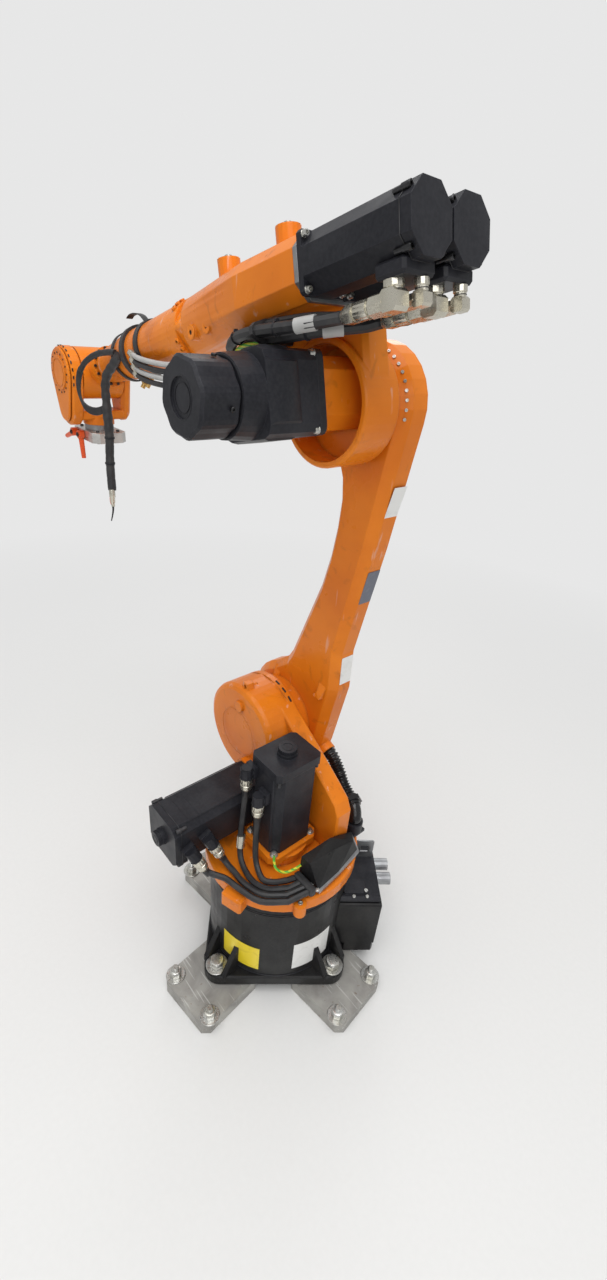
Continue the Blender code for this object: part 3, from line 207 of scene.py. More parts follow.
class Shape:
    """Closed forms gathered in one mesh, each put where a place says."""

    def __init__(self):
        self.bm = bmesh.new()

    def skin(self, rings):
        """Faces between rings of corners; a ring of one corner closes an end in a point."""
        made = [[self.bm.verts.new(corner) for corner in ring] for ring in rings]
        for near, far in zip(made, made[1:]):
            count = max(len(near), len(far))
            for i in range(count):
                j = (i + 1) % count
                corners = (near[i % len(near)], near[j % len(near)], far[j % len(far)], far[i % len(far)])
                face = list(dict.fromkeys(corners))
                if len(face) > 2:
                    self.bm.faces.new(face)
        if len(made[0]) > 2:
            self.bm.faces.new(made[0][::-1])
        if len(made[-1]) > 2:
            self.bm.faces.new(made[-1])

    def turned(self, place, profile, sides=24):
        """Turn (radius, height) points about z; a third word makes that ring a hexagon or knurled."""
        rings = []
        for radius, height, *form in profile:
            ring = []
            for i in range(sides if radius else 1):
                angle = tau * i / sides
                reach = radius
                if "hex" in form:
                    reach = radius / cos((angle + pi / 6) % (pi / 3) - pi / 6)
                if "knurl" in form and i % 2:
                    reach = radius * 0.93
                ring.append(place @ Vector((reach * cos(angle), reach * sin(angle), height)))
            rings.append(ring)
        self.skin(rings)

    def slab(self, place, outline, thickness, edge=0.0004):
        """A plate on an outline, with its upper edge broken."""
        middle = Vector((sum(x for x, y in outline), sum(y for x, y in outline))) / len(outline)
        inner = []
        for x, y in outline:
            corner = Vector((x, y))
            inner.append(corner + (middle - corner).normalized() * edge)
        rings = [[place @ Vector((x, y, 0)) for x, y in outline],
                 [place @ Vector((x, y, thickness - edge)) for x, y in outline],
                 [place @ Vector((x, y, thickness)) for x, y in inner]]
        self.skin(rings)

    def tube(self, points, radius, sides=12, steps=6, place=world_place, ribs=None):
        """A round tube on a smooth curve; ribs changes the radius by the distance along it."""
        path = smooth_path([place @ Vector(point) for point in points], steps)
        way = (path[1] - path[0]).normalized()
        side = way.orthogonal().normalized()
        rings = []
        travelled = 0
        total = path_length(path)
        for i, spot in enumerate(path):
            before, after = path[max(i - 1, 0)], path[min(i + 1, len(path) - 1)]
            heading = (after - before).normalized()
            side = (side - heading * side.dot(heading)).normalized()
            other = heading.cross(side)
            travelled += (spot - before).length
            reach = radius * (ribs(travelled, total) if ribs else 1)
            rings.append([spot + (side * cos(tau * k / sides) + other * sin(tau * k / sides)) * reach
                          for k in range(sides)])
        self.skin(rings)
        return path


def piece(name, body, finish, shape, sharp=32):
    """One named piece of the scene, riding on a body, or on none."""
    mesh = bpy.data.meshes.new(name)
    bmesh.ops.recalc_face_normals(shape.bm, faces=shape.bm.faces)
    shape.bm.to_mesh(mesh)
    shape.bm.free()
    mesh.shade_smooth()
    mesh.set_sharp_from_angle(angle=radians(sharp))
    mesh.materials.append(finish)
    made = bpy.data.objects.new(name, mesh)
    scene.collection.objects.link(made)
    if body:
        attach(made, body)
    return made


class Finish:
    """A procedural material, written node by node from the object's own coordinates."""

    def __init__(self, name, **numbers):
        self.material = bpy.data.materials.new(name)
        self.material.use_nodes = True
        self.tree = self.material.node_tree
        self.shader = next(node for node in self.tree.nodes if node.type == "BSDF_PRINCIPLED")
        for key, number in numbers.items():
            self.shader.inputs[key.replace("_", " ")].default_value = number
        self.where = self.node("ShaderNodeTexCoord").outputs["Object"]
        self.surface = None

    def node(self, kind, inputs=(), **settings):
        made = self.tree.nodes.new(kind)
        for key, value in settings.items():
            setattr(made, key, value)
        for key, value in dict(inputs).items():
            if isinstance(value, bpy.types.NodeSocket):
                self.tree.links.new(value, made.inputs[key])
            else:
                made.inputs[key].default_value = value
        return made

    def stretched(self, stretch):
        return self.node("ShaderNodeVectorMath", {0: self.where, 1: stretch}, operation="MULTIPLY").outputs[0]

    def noise(self, scale, detail=3, stretch=None, distortion=0):
        where = self.stretched(stretch) if stretch else self.where
        inputs = {"Vector": where, "Scale": scale, "Detail": detail, "Distortion": distortion}
        return self.node("ShaderNodeTexNoise", inputs).outputs[0]

    def spread(self, value, low, high, to_low=0.0, to_high=1.0):
        inputs = {"Value": value, "From Min": low, "From Max": high, "To Min": to_low, "To Max": to_high}
        return self.node("ShaderNodeMapRange", inputs).outputs[0]

    def math(self, operation, one, other):
        return self.node("ShaderNodeMath", {0: one, 1: other}, operation=operation).outputs[0]

    def mixed(self, share, one, other):
        one = (*one, 1) if isinstance(one, tuple) else one
        other = (*other, 1) if isinstance(other, tuple) else other
        return self.node("ShaderNodeMix", {0: share, 6: one, 7: other}, data_type="RGBA").outputs[2]

    def rounded_edges(self, radius):
        self.surface = self.node("ShaderNodeBevel", {"Radius": radius}, samples=4).outputs[0]

    def edges(self, radius):
        """One along sharp edges and nought on open faces."""
        bent = self.node("ShaderNodeBevel", {"Radius": radius}, samples=4).outputs[0]
        straight = self.node("ShaderNodeNewGeometry").outputs["Normal"]
        match = self.node("ShaderNodeVectorMath", {0: bent, 1: straight}, operation="DOT_PRODUCT")
        return self.spread(match.outputs["Value"], 0.995, 0.88)

    def worn_and_highlit_edges(self, colour, base, gain, radius, share):
        """The colour, with sharp edges lightened to a paler tone of the base: partly wear, partly a painted
        highlight.
        """
        # The lighter tone is partly worn paint and partly a painted highlight caught on the edges.
        lighter = tuple(min(1, c * gain) for c in base)
        return self.mixed(self.math("MULTIPLY", self.edges(radius), share), colour, lighter)

    # Painted shade: ambient occlusion, darker where corners and recesses keep the light out.
    def occlusion_shade(self, distance):
        return self.node("ShaderNodeAmbientOcclusion", {"Distance": distance}, samples=4).outputs["AO"]

    def bump(self, height, strength, distance):
        inputs = {"Height": height, "Strength": strength, "Distance": distance}
        if self.surface:
            inputs["Normal"] = self.surface
        self.surface = self.node("ShaderNodeBump", inputs).outputs[0]

    def done(self, colour, roughness):
        self.tree.links.new(colour, self.shader.inputs["Base Color"])
        self.tree.links.new(roughness, self.shader.inputs["Roughness"])
        if self.surface:
            self.tree.links.new(self.surface, self.shader.inputs["Normal"])
        return self.material


def enamel(name, light, deep, soil, gloss, cad=True):
    """Thick paint on a casting: soft waves, fine peel, soil stains, painted shade in the corners, and thin
    edges partly worn and partly painted as a highlight.
    """
    paint = Finish(name, Coat_Weight=0.08, Coat_Roughness=0.1, Specular_IOR_Level=0.22)
    if cad:
        paint.rounded_edges(0.0026)
    tone = paint.spread(paint.noise(7, 4), 0.35, 0.68)
    colour = paint.mixed(tone, light, deep)
    stains = paint.spread(paint.noise(26, 5, distortion=1.2), 0.6, 0.74, 0, 0.35)
    colour = paint.mixed(stains, colour, soil)
    scuffs = paint.spread(paint.noise(90, 2, stretch=(1, 1, 0.12)), 0.68, 0.74, 0, 0.22)
    colour = paint.mixed(scuffs, colour, PALE)
    if cad:
        # Painted shade: corners and recesses are darkened towards the soil colour by ambient occlusion.
        corners = paint.spread(paint.occlusion_shade(0.012), 0.75, 0.25, 0, 0.55)
        colour = paint.mixed(corners, colour, soil)
        # Edges lightened: partly thin, worn paint, partly a painted highlight.
        colour = paint.worn_and_highlit_edges(colour, light, gain=1.5, radius=0.0012, share=0.25)
    paint.bump(paint.noise(60, 2), 0.25, 0.0006)
    paint.bump(paint.noise(900, 2), 0.1, 0.0002)
    return paint.done(colour, paint.spread(paint.noise(18, 4), 0.3, 0.7, gloss - 0.07, gloss + 0.1))


def coated(name, colour, dust, roughness, grain=1500, cad=True):
    """Satin black coating with a fine grain, paler at the edges from wear and a painted highlight, and dusty
    in patches.
    """
    coat = Finish(name, Specular_IOR_Level=0.2)
    if cad:
        coat.rounded_edges(0.001)
    patches = coat.spread(coat.noise(14, 5, distortion=0.8), 0.42, 0.8, 0, 0.3)
    shade = coat.mixed(patches, colour, dust)
    fine = coat.spread(coat.noise(240, 3), 0.35, 0.75, 0, 0.16)
    shade = coat.mixed(fine, shade, dust)
    if cad:
        # Edges lightened: partly wear, partly a painted sheen on the satin coat.
        shade = coat.worn_and_highlit_edges(shade, colour, gain=5, radius=0.0009, share=0.35)
    coat.bump(coat.noise(grain, 2), 0.22, 0.0002)
    return coat.done(shade, coat.spread(coat.noise(30, 4), 0.3, 0.7, roughness - 0.07, roughness + 0.12))


def metal(name, colour, tarnish, roughness, streaks=(1, 1, 1), cad=False):
    """Bare or plated metal, with tarnish in patches and machining streaks."""
    bare = Finish(name, Metallic=0.92)
    if cad:
        bare.rounded_edges(0.0008)
    patches = bare.spread(bare.noise(45, 5), 0.38, 0.72)
    shade = bare.mixed(patches, colour, tarnish)
    lines = bare.noise(420, 3, stretch=streaks)
    bare.bump(lines, 0.06, 0.0002)
    return bare.done(shade, bare.spread(lines, 0.3, 0.7, roughness - 0.08, roughness + 0.12))


def flame_cut(name):
    """Dull thick plate: mill scale, rusty specks, scratches and grit."""
    plate = Finish(name, Metallic=0.35)
    plate.rounded_edges(0.0014)
    scale = plate.spread(plate.noise(16, 6, distortion=0.6), 0.36, 0.66)
    shade = plate.mixed(scale, PLATE_GREY, (0.26, 0.25, 0.235))
    specks = plate.spread(plate.noise(130, 3), 0.66, 0.73, 0, 0.6)
    shade = plate.mixed(specks, shade, (0.17, 0.09, 0.05))
    scratches = plate.spread(plate.noise(240, 1, stretch=(0.06, 1, 1)), 0.66, 0.7, 0, 0.5)
    shade = plate.mixed(scratches, shade, (0.7, 0.7, 0.68))
    plate.bump(plate.noise(320, 4), 0.3, 0.0004)
    return plate.done(shade, plate.spread(scale, 0, 1, 0.42, 0.66))


def sheath(name, colour, dust, roughness=0.5):
    """Extruded rubber or plastic with dust and a faint lengthwise drag."""
    skin = Finish(name)
    dusty = skin.spread(skin.noise(70, 4), 0.45, 0.75, 0, 0.28)
    shade = skin.mixed(dusty, colour, dust)
    skin.bump(skin.noise(700, 2), 0.15, 0.0002)
    return skin.done(shade, skin.spread(dusty, 0, 0.28, roughness - 0.06, roughness + 0.18))


def striped(name):
    """Earth lead: green with a yellow stripe that winds along it."""
    skin = Finish(name)
    inputs = {"Vector": skin.where, "Scale": 75, "Distortion": 1.5}
    wave = skin.node("ShaderNodeTexWave", inputs, bands_direction="Z")
    shade = skin.mixed(skin.spread(wave.outputs[1], 0.42, 0.52), (0.66, 0.62, 0.03), GREEN)
    skin.bump(skin.noise(800, 2), 0.1, 0.0002)
    return skin.done(shade, skin.spread(skin.noise(60), 0.3, 0.7, 0.38, 0.55))


def printed(name, colour, soil):
    """A plain laminated label with handling marks and uneven gloss."""
    film = Finish(name, Coat_Weight=0.2)
    marks = film.spread(film.noise(55, 5, distortion=1.0), 0.5, 0.78, 0, 0.4)
    film.bump(film.noise(160, 2), 0.08, 0.0002)
    return film.done(film.mixed(marks, colour, soil), film.spread(marks, 0, 0.4, 0.3, 0.55))


orange_paint = enamel("orange_enamel", ORANGE, ORANGE_DEEP, (0.22, 0.06, 0.012), 0.3)
black_paint = coated("black_enamel", BLACK_PAINT, (0.06, 0.058, 0.054), 0.34, grain=700)
motor_coat = coated("motor_coating", MOTOR_BLACK, (0.07, 0.07, 0.078), 0.38)
small_coat = coated("small_black_parts", MOTOR_BLACK, (0.07, 0.07, 0.072), 0.36, cad=False)
steel = metal("machined_steel", GREY_STEEL, (0.26, 0.26, 0.27), 0.36, (0.1, 1, 1), cad=True)
zinc = metal("zinc_plated", ZINC, (0.44, 0.43, 0.38), 0.3)
dark_steel = metal("blackened_steel", (0.09, 0.09, 0.095), (0.03, 0.03, 0.03), 0.38)
nickel = metal("nickel_plated", NICKEL, (0.58, 0.55, 0.46), 0.3)
nickel_trim = metal("nickel_trim", NICKEL, (0.58, 0.55, 0.46), 0.26)
aluminium = metal("milled_aluminium", (0.7, 0.68, 0.65), (0.52, 0.5, 0.48), 0.34, (0.15, 1, 1), cad=True)
brass = metal("brass", BRASS, (0.42, 0.24, 0.08), 0.28)
plate_steel = flame_cut("flame_cut_plate")
rubber = sheath("rubber_sheath", RUBBER, (0.1, 0.097, 0.092))
hose_plastic = sheath("glossy_hose_plastic", (0.008, 0.008, 0.009), (0.018, 0.018, 0.018), 0.2)
grey_sheath = sheath("grey_sheath", (0.42, 0.42, 0.41), (0.28, 0.27, 0.26), 0.42)
green_sheath = striped("earth_sheath")
lever_paint = enamel("lever_enamel", LEVER_ORANGE, (0.66, 0.09, 0.03), (0.2, 0.05, 0.02), 0.34)
yellow_film = printed("yellow_label", YELLOW, (0.45, 0.33, 0.04))
white_film = printed("white_label", PALE, (0.46, 0.44, 0.4))
silver_film = printed("rating_plate", (0.1, 0.11, 0.15), (0.3, 0.3, 0.32))
# Painted shade: a near-black finish laid over holes, slots and sockets to stand for the shade inside them.
painted_shade_finish = sheath("recess_shade_paint", (0.008, 0.008, 0.008), (0.03, 0.03, 0.03), 0.7)

FINISHES = {
    "orange_paint": orange_paint, "black_paint": black_paint, "motor_black": motor_coat, "grey_metal": steel,
    "bright_metal": nickel, "floor_steel": plate_steel, "dark_rubber": rubber, "earth_green": green_sheath,
    "lever_orange": lever_paint,
}


def dress_nodes():
    """Give every carried-over node its finish, by the slot that the record names."""
    for node in nodes.values():
        for holder in node.material_slots:
            holder.material = FINISHES[holder.material.name.split(".")[0]]
    nodes["tool_plate"].material_slots[0].material = aluminium


def washer(shape, place, radius, thickness=0.0016):
    shape.turned(place, [(0, 0), (radius * 0.97, 0), (radius, thickness * 0.3), (radius, thickness * 0.7),
                         (radius * 0.95, thickness), (0, thickness)])


def hex_head(shape, place, flats, height=None):
    half = flats / 2
    height = height or flats * 0.62
    shape.turned(place, [(0, 0), (half * 0.96, 0, "hex"), (half, height * 0.08, "hex"),
                         (half, height * 0.84, "hex"), (half * 0.95, height * 0.97), (half * 0.8, height),
                         (0, height)])


def hex_bolt(shape, place, flats):
    """A hexagon head on its washer, with the small boss at the head's middle."""
    thickness = flats * 0.1
    washer(shape, place, flats * 0.86, thickness)
    hex_head(shape, raised(place, thickness), flats)


def stud_nut(shape, place, flats, rise):
    """A floor anchor: washer, nut and the threaded stud that stands out of it."""
    thickness = flats * 0.14
    washer(shape, place, flats * 0.95, thickness)
    hex_head(shape, raised(place, thickness), flats, flats * 0.78)
    low = thickness + flats * 0.74
    thread = [(0, low)]
    pitch = flats * 0.1
    for i in range(int(rise / pitch)):
        thread += [(flats * 0.27, low + pitch * (i + 0.1)), (flats * 0.31, low + pitch * (i + 0.6))]
    shape.turned(place, thread + [(flats * 0.25, low + rise), (0, low + rise)], 16)


def socket_screw(shape, place, radius, height=None):
    """A cylinder head with a hexagon socket sunk into it."""
    height = height or radius * 1.3
    socket, bottom = radius * 0.5, height * 0.42
    shape.turned(place, [(0, 0), (radius, 0), (radius, height * 0.86), (radius * 0.9, height),
                         (socket, height, "hex"), (socket, bottom, "hex"), (0, bottom)])


def ring(shape, place, inner, outer, low, high, sides=32):
    """A flat closed ring between two radii."""
    edge = min(outer - inner, high - low) * 0.2
    profile = [(inner, low), (outer - edge, low), (outer, low + edge), (outer, high - edge),
               (outer - edge, high), (inner, high)]
    corners = []
    for i in range(sides):
        angle = tau * i / sides
        corners.append([shape.bm.verts.new(place @ Vector((r * cos(angle), r * sin(angle), z)))
                        for r, z in profile])
    for i in range(sides):
        here, there = corners[i], corners[(i + 1) % sides]
        for k in range(len(profile)):
            m = (k + 1) % len(profile)
            shape.bm.faces.new((here[k], there[k], there[m], here[m]))


def four_corners(x, y):
    return ((x, y), (-x, y), (-x, -y), (x, -y))


UP = (0, 0, 1)
FOOT_BOLT_REACH = 0.109
FOOT_BOLT_FLATS = 0.024
ANCHOR_REACH, ANCHOR_SPREAD = 0.212, 0.05
ANCHOR_FLATS, ANCHOR_RISE = 0.019, 0.01
LID_TOP, LID_PANEL_TOP = 0.1606, 0.1656
LABEL_LIFT, LABEL_SKIN = 0.0001, 0.0005


def base_details():
    """Foot bolts, blank plugs, floor anchors, plain labels and the connection box's screws."""
    bolts = Shape()
    plugs = Shape()
    for x, y in four_corners(FOOT_BOLT_REACH, FOOT_BOLT_REACH):
        hex_bolt(bolts, facing(base_place, (x, y, BASE_PLATE_TOP), UP), FOOT_BOLT_FLATS)
        for across, along in ((x * 0.77, y * 1.05), (x * 1.05, y * 0.77)):
            ring(plugs, facing(base_place, (across, along, BASE_PLATE_TOP), UP), 0.0045, 0.0068, 0, 0.0009)
    piece("foot_bolts", "base", zinc, bolts)
    piece("foot_blank_plugs", "base", small_coat, plugs)
    anchors = Shape()
    for quarter in range(4):
        turned_place = base_place @ Matrix.Rotation(pi / 4 + quarter * pi / 2, 4, "Z")
        for side in (-1, 1):
            spot = (ANCHOR_REACH, side * ANCHOR_SPREAD, BEDPLATE_TOP)
            stud_nut(anchors, facing(turned_place, spot, UP), ANCHOR_FLATS, ANCHOR_RISE)
    piece("floor_anchors", "base", zinc, anchors)
    wrapped_label("barrel_label_yellow", yellow_film, radians(42), radians(76), 0.042, 0.104)
    wrapped_label("barrel_label_white", white_film, radians(103), radians(137), 0.046, 0.118)
    rim = Shape()
    ring(rim, base_place, BARREL_RADIUS - 0.0006, BARREL_RADIUS + 0.0008, 0.206, 0.2085, 96)
    ring(rim, base_place, BARREL_RADIUS - 0.0006, BARREL_RADIUS + 0.001, 0.0265, 0.03, 96)
    piece("barrel_rims", "base", small_coat, rim)
    box_low, box_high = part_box("junction_lid")
    screws = Shape()
    centre = base_place.inverted() @ Vector(((box_low.x + box_high.x) / 2, (box_low.y + box_high.y) / 2, 0))
    for x, y in four_corners(0.0125, 0.059):
        spot = (centre.x + x, centre.y + y, LID_TOP)
        socket_screw(screws, facing(base_place, spot, UP), 0.0032, 0.0022)
    socket_screw(screws, facing(base_place, (-0.164, 0.05, LID_PANEL_TOP), UP), 0.0036, 0.0022)
    piece("lid_screws", "base", zinc, screws)


def wrapped_label(name, finish, start, end, low, high):
    """A thin label bent round the barrel between two angles."""
    label = Shape()
    inner, outer = BARREL_RADIUS + LABEL_LIFT, BARREL_RADIUS + LABEL_SKIN
    rings = []
    steps = 18
    for i in range(steps + 1):
        angle = start + (end - start) * i / steps
        way = Vector((cos(angle), sin(angle), 0))
        rings.append([base_place @ (way * r + Vector((0, 0, z))) for r, z in
                      ((inner, low), (outer, low), (outer, high), (inner, high))])
    label.skin(rings)
    piece(name, "base", finish, label)


A2_PLUG_WAY = (-0.3009, -0.3611, -0.8827)
PLUGS_LOW = (
    ((-0.0164, 0.075, 0.4063), (0, 0, -1)), ((0.0176, 0.075, 0.4393), (0, 0, -1)),
    ((0.022, 0.142, 0.3181), A2_PLUG_WAY), ((0.022, 0.175, 0.3093), A2_PLUG_WAY),
)
PLUG_NUT = (
    (0, 0.0115), (0.0098, 0.0115), (0.0104, 0.0125, "knurl"), (0.0104, 0.0205, "knurl"), (0.0098, 0.0215),
    (0.0088, 0.0222), (0.0088, 0.0248), (0.0096, 0.0255), (0.0096, 0.033), (0.0086, 0.0345), (0.0072, 0.0375),
    (0.0064, 0.0385), (0, 0.0385),
)
PLUG_BOOT = ((0, 0.0385), (0.0066, 0.0385), (0.006, 0.047), (0.0055, 0.053), (0, 0.053))


def lower_connectors():
    """Knurled nuts, gland sleeves and head ribs on the four plugs of the lower motors."""
    nuts, heads, boots = Shape(), Shape(), Shape()
    for elbow, way in PLUGS_LOW:
        place = facing(world_place, elbow, way)
        nuts.turned(place, PLUG_NUT, 36)
        ring(heads, place, 0.0095, 0.0113, 0.0085, 0.0112, 8)
        ring(heads, place, 0.0095, 0.0111, -0.0105, -0.0085, 8)
        boots.turned(place, PLUG_BOOT, 20)
    piece("lower_plug_nuts", "column", nickel_trim, nuts)
    piece("lower_plug_ribs", "column", small_coat, heads, 20)
    piece("lower_plug_boots", "column", rubber, boots)
    sleeve = Shape()
    sleeve.tube(((0.0085, 0.088, 0.308), (0.0048, 0.0912, 0.296), (0.0028, 0.0935, 0.288)), 0.0076, 20, 3)
    piece("lead_gland", "column", nickel_trim, sleeve)


def motor_trim(name, body, place, width, depth, chamfer, rim_at, screw_radius):
    """The joint line and corner screws where a motor's cap meets its housing, along z of its place."""
    seam = Shape()
    outline = chamfered(width + 0.0012, depth + 0.0012, chamfer)
    seam.slab(raised(place, rim_at - 0.0005), outline, 0.001, 0.0002)
    piece(name + "_cap_seam", body, dark_steel, seam)
    screws = Shape()
    reach = chamfer / 2 - screw_radius * 0.45
    head, socket = screw_radius * 1.35, screw_radius * 0.6
    profile = [(0, 0), (screw_radius, 0.001), (screw_radius, 0.01), (head, 0.0105), (head, 0.0185),
               (screw_radius * 1.1, 0.0195), (socket, 0.0195, "hex"), (socket, 0.017, "hex"), (0, 0.017)]
    for x, y in four_corners(width / 2 - reach, depth / 2 - reach):
        screws.turned(place @ Matrix.Translation((x, y, rim_at - 0.012)), profile)
    piece(name + "_cap_screws", body, dark_steel, screws)


A1_SPOT = (-0.009, 0.013)
LUG_REACH, LUG_ANGLE = 0.144, radians(153)
FLANGE_HOLE_REACH = 0.1315
FLANGE_HOLES = (20, 65, 149.9, 200, 250, 300)
DRUM_SLOTS = (101, 113, 125, 137, 149, 161)


def column_details():
    """Flange screws, pad bolts, painted shade for the flange holes and drum slots, the drum line, and the
    trim of the lower motors.
    """
    bright, dark = Shape(), Shape()
    for x, y in ((-0.1195, 0.033), (-0.133, 0.034)):
        hex_head(bright, facing(world_place, (x, y, 0.2686), UP), 0.007, 0.0034)
    lug = (LUG_REACH * cos(LUG_ANGLE), LUG_REACH * sin(LUG_ANGLE), FLANGE_TOP)
    socket_screw(bright, facing(world_place, lug, UP), 0.004, 0.003)
    for x, y in four_corners(0.0335, 0.042):
        seat = facing(world_place, (A1_SPOT[0] + x, A1_SPOT[1] + y, 0.2823), UP)
        washer(bright, seat, 0.0072)
        hex_head(bright, raised(seat, 0.0016), 0.0085, 0.0055)
    # Painted shade: dark discs on the flange stand for its holes.
    for degrees in FLANGE_HOLES:
        angle = radians(degrees)
        spot = (FLANGE_HOLE_REACH * cos(angle), FLANGE_HOLE_REACH * sin(angle), FLANGE_TOP)
        ring(dark, facing(world_place, spot, UP), 0.0006, 0.0024, 0.0001, 0.0003, 16)
    piece("column_screws", "column", zinc, bright)
    piece("flange_hole_shade", "column", painted_shade_finish, dark)
    drum = leftward(SHOULDER)
    # Painted shade: thin dark plates on the drum stand for its slots.
    slots = Shape()
    for degrees in DRUM_SLOTS:
        angle = radians(degrees)
        out = Vector((cos(angle), 0, sin(angle)))
        spot = SHOULDER + out * (DRUM_RADIUS + 0.0002) + ACROSS * -0.0735
        slots.slab(basis(ACROSS, out.cross(ACROSS), spot), rounded(0.0036, 0.012, 0.0017), 0.0005, 0.0001)
    piece("drum_slot_shade", "column", painted_shade_finish, slots)
    cover = Shape()
    ring(cover, drum, 0.048, 0.0494, 0.002, 0.0026, 64)
    piece("drum_cover_line", "column", orange_paint, cover)
    a1_place = Matrix.Translation((*A1_SPOT, 0))
    motor_trim("a1_motor", "column", a1_place, 0.074, 0.092, 0.014, 0.4506, 0.003)
    a2_place = leftward((0.082, 0, 0.3163))
    motor_trim("a2_motor", "column", a2_place, 0.088, 0.088, 0.012, 0.1862, 0.003)
    buttons = Shape()
    for place, top, radius in ((a1_place, 0.4809, 0.0153), (a2_place, 0.2113, 0.0132)):
        ring(buttons, place, radius * 0.55, radius * 0.62, top, top + 0.0006)
        ring(buttons, place, radius * 0.95, radius * 1.13, top - 0.0085, top - 0.0075)
        for i in range(24):
            turn = Matrix.Rotation(tau * i / 24, 4, "Z") @ Matrix.Translation((radius, 0, top - 0.0065))
            buttons.slab(place @ turn, rounded(0.001, 0.0016, 0.0004, 2), 0.0055, 0.0003)
    piece("motor_cap_buttons", "column", small_coat, buttons)
    lines = Shape()
    for y in (0.146, 0.166):
        lines.slab(Matrix.Translation((0.082, y, 0.3603)), rounded(0.062, 0.0007, 0.0003), 0.0003, 0.0001)
    for x in (0.048, 0.116):
        lines.slab(Matrix.Translation((x, 0.098, 0.3603)), rounded(0.0012, 0.15, 0.0005), 0.0005, 0.0001)
    for x, low in ((-0.037, 0.15), (0.019, 0.15)):
        place = basis(Vector((1, 0, 0)), Vector((0, 0, 1)), Vector((x, 0.059, 0.3665)))
        lines.slab(place @ Matrix.Rotation(pi, 4, "X"), rounded(0.0012, low, 0.0005), 0.0005, 0.0001)
    piece("motor_body_ridges", "column", small_coat, lines)


HOSE_ROUTE = (
    (-0.0735, -0.1135, 0.2836), (-0.0735, -0.1135, 0.2906), (-0.064, -0.119, 0.3038),
    (-0.044, -0.126, 0.3083), (-0.02, -0.131, 0.3193), (0, -0.135, 0.3378),
    (0.0206, -0.136, 0.3577), (0.0338, -0.136, 0.3625),
)
SMOOTH_SHARE = 0.3
RIB_PITCH = 0.006
HOSE_NUT = (
    (0, -0.01), (0.015, -0.01), (0.015, -0.005), (0.018, -0.0045, "hex"), (0.018, 0.0045, "hex"),
    (0.016, 0.0055), (0.0155, 0.009), (0, 0.009),
)


def link_hose():
    """The corrugated hose from the cable cover to the link arm, on no body."""
    hose = Shape()

    def corrugation(travelled, total):
        smooth_end = travelled < total * SMOOTH_SHARE
        return 0.88 if smooth_end else 0.86 + 0.14 * max(-0.6, cos(tau * travelled / RIB_PITCH))

    hose.tube(HOSE_ROUTE, HOSE_RADIUS, 24, 26, ribs=corrugation)
    made = piece("link_hose_corrugated", None, hose_plastic, hose, 60)
    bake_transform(made)
    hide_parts("link_hose")
    collar = Shape()
    place = facing(world_place, (-0.052, -0.1235, 0.307), (0.02, -0.007, 0.0052))
    collar.turned(place, HOSE_NUT, 36)
    nut = piece("hose_nut", None, hose_plastic, collar)
    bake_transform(nut)


def link_details():
    """Screws on the head and foot, the raised rings of the outer side, and the bare labels."""
    bolts = Shape()
    for degrees in range(104, 180, 9):
        angle = radians(degrees)
        out = Vector((cos(angle), 0, sin(angle)))
        spot = out * 0.0735 + Vector((0, -0.115, LINK_LENGTH))
        socket_screw(bolts, facing(link_place, spot - (out + ACROSS) * 0.0006, out + ACROSS), 0.0022, 0.0022)
    for centre, radius, count in ((LINK_LENGTH, 0.052, 10), (0, 0.07, 12)):
        for i in range(count):
            angle = tau * (i + 0.5) / count
            spot = (radius * cos(angle), LINK_OUTER_Y, centre + radius * sin(angle))
            socket_screw(bolts, facing(link_place, spot, (0, -1, 0)), 0.0034, 0.0036)
    piece("link_screws", "link_arm", zinc, bolts)
    covers = Shape()
    for centre, radius in ((LINK_LENGTH, 0.044), (0, 0.06)):
        place = facing(link_place, (0, LINK_OUTER_Y, centre), (0, -1, 0))
        covers.turned(place, [(0, 0), (radius, 0), (radius, 0.0012), (radius * 0.985, 0.0018),
                              (radius * 0.8, 0.0018), (radius * 0.78, 0.0011), (0, 0.0011)], 64)
    piece("link_side_covers", "link_arm", orange_paint, covers)
    for name, finish, low, high, lean in (
            ("link_label_upper", white_film, 0.44, 0.516, -0.04),
            ("link_plate", silver_film, 0.318, 0.378, -0.003),
            ("link_label_lower", white_film, 0.152, 0.206, 0.219)):
        middle = (low + high) / 2
        reach = rear_reach(middle)
        out = Vector((-1, 0, lean)).normalized()
        along = Vector((lean, 0, 1)).normalized()
        place = link_place @ basis(ACROSS, along, Vector((reach, -0.136, middle)) + out * 0.0003)
        label = Shape()
        label.slab(place @ Matrix.Rotation(pi, 4, "Y"), rounded(0.027, high - low, 0.0015), 0.0005, 0.0001)
        piece(name, "link_arm", finish, label)


def rear_reach(height):
    """How far back the link's rear face stands at a height along it."""
    stations = ((0.1398, -0.104), (0.213, -0.088), (0.4158, -0.087), (0.609, -0.0795))
    for (low, near), (high, far) in zip(stations, stations[1:]):
        if height <= high:
            return near + (far - near) * (height - low) / (high - low)
    return stations[-1][1]


WRIST_PLUGS = (
    (0.0085, -0.1858, 0.0408, -0.1222), (0.0085, -0.1858, -0.0192, -0.1222),
    (0.006, -0.2009, 0.0197, -0.1499), (0.006, -0.2009, -0.0403, -0.1499),
)


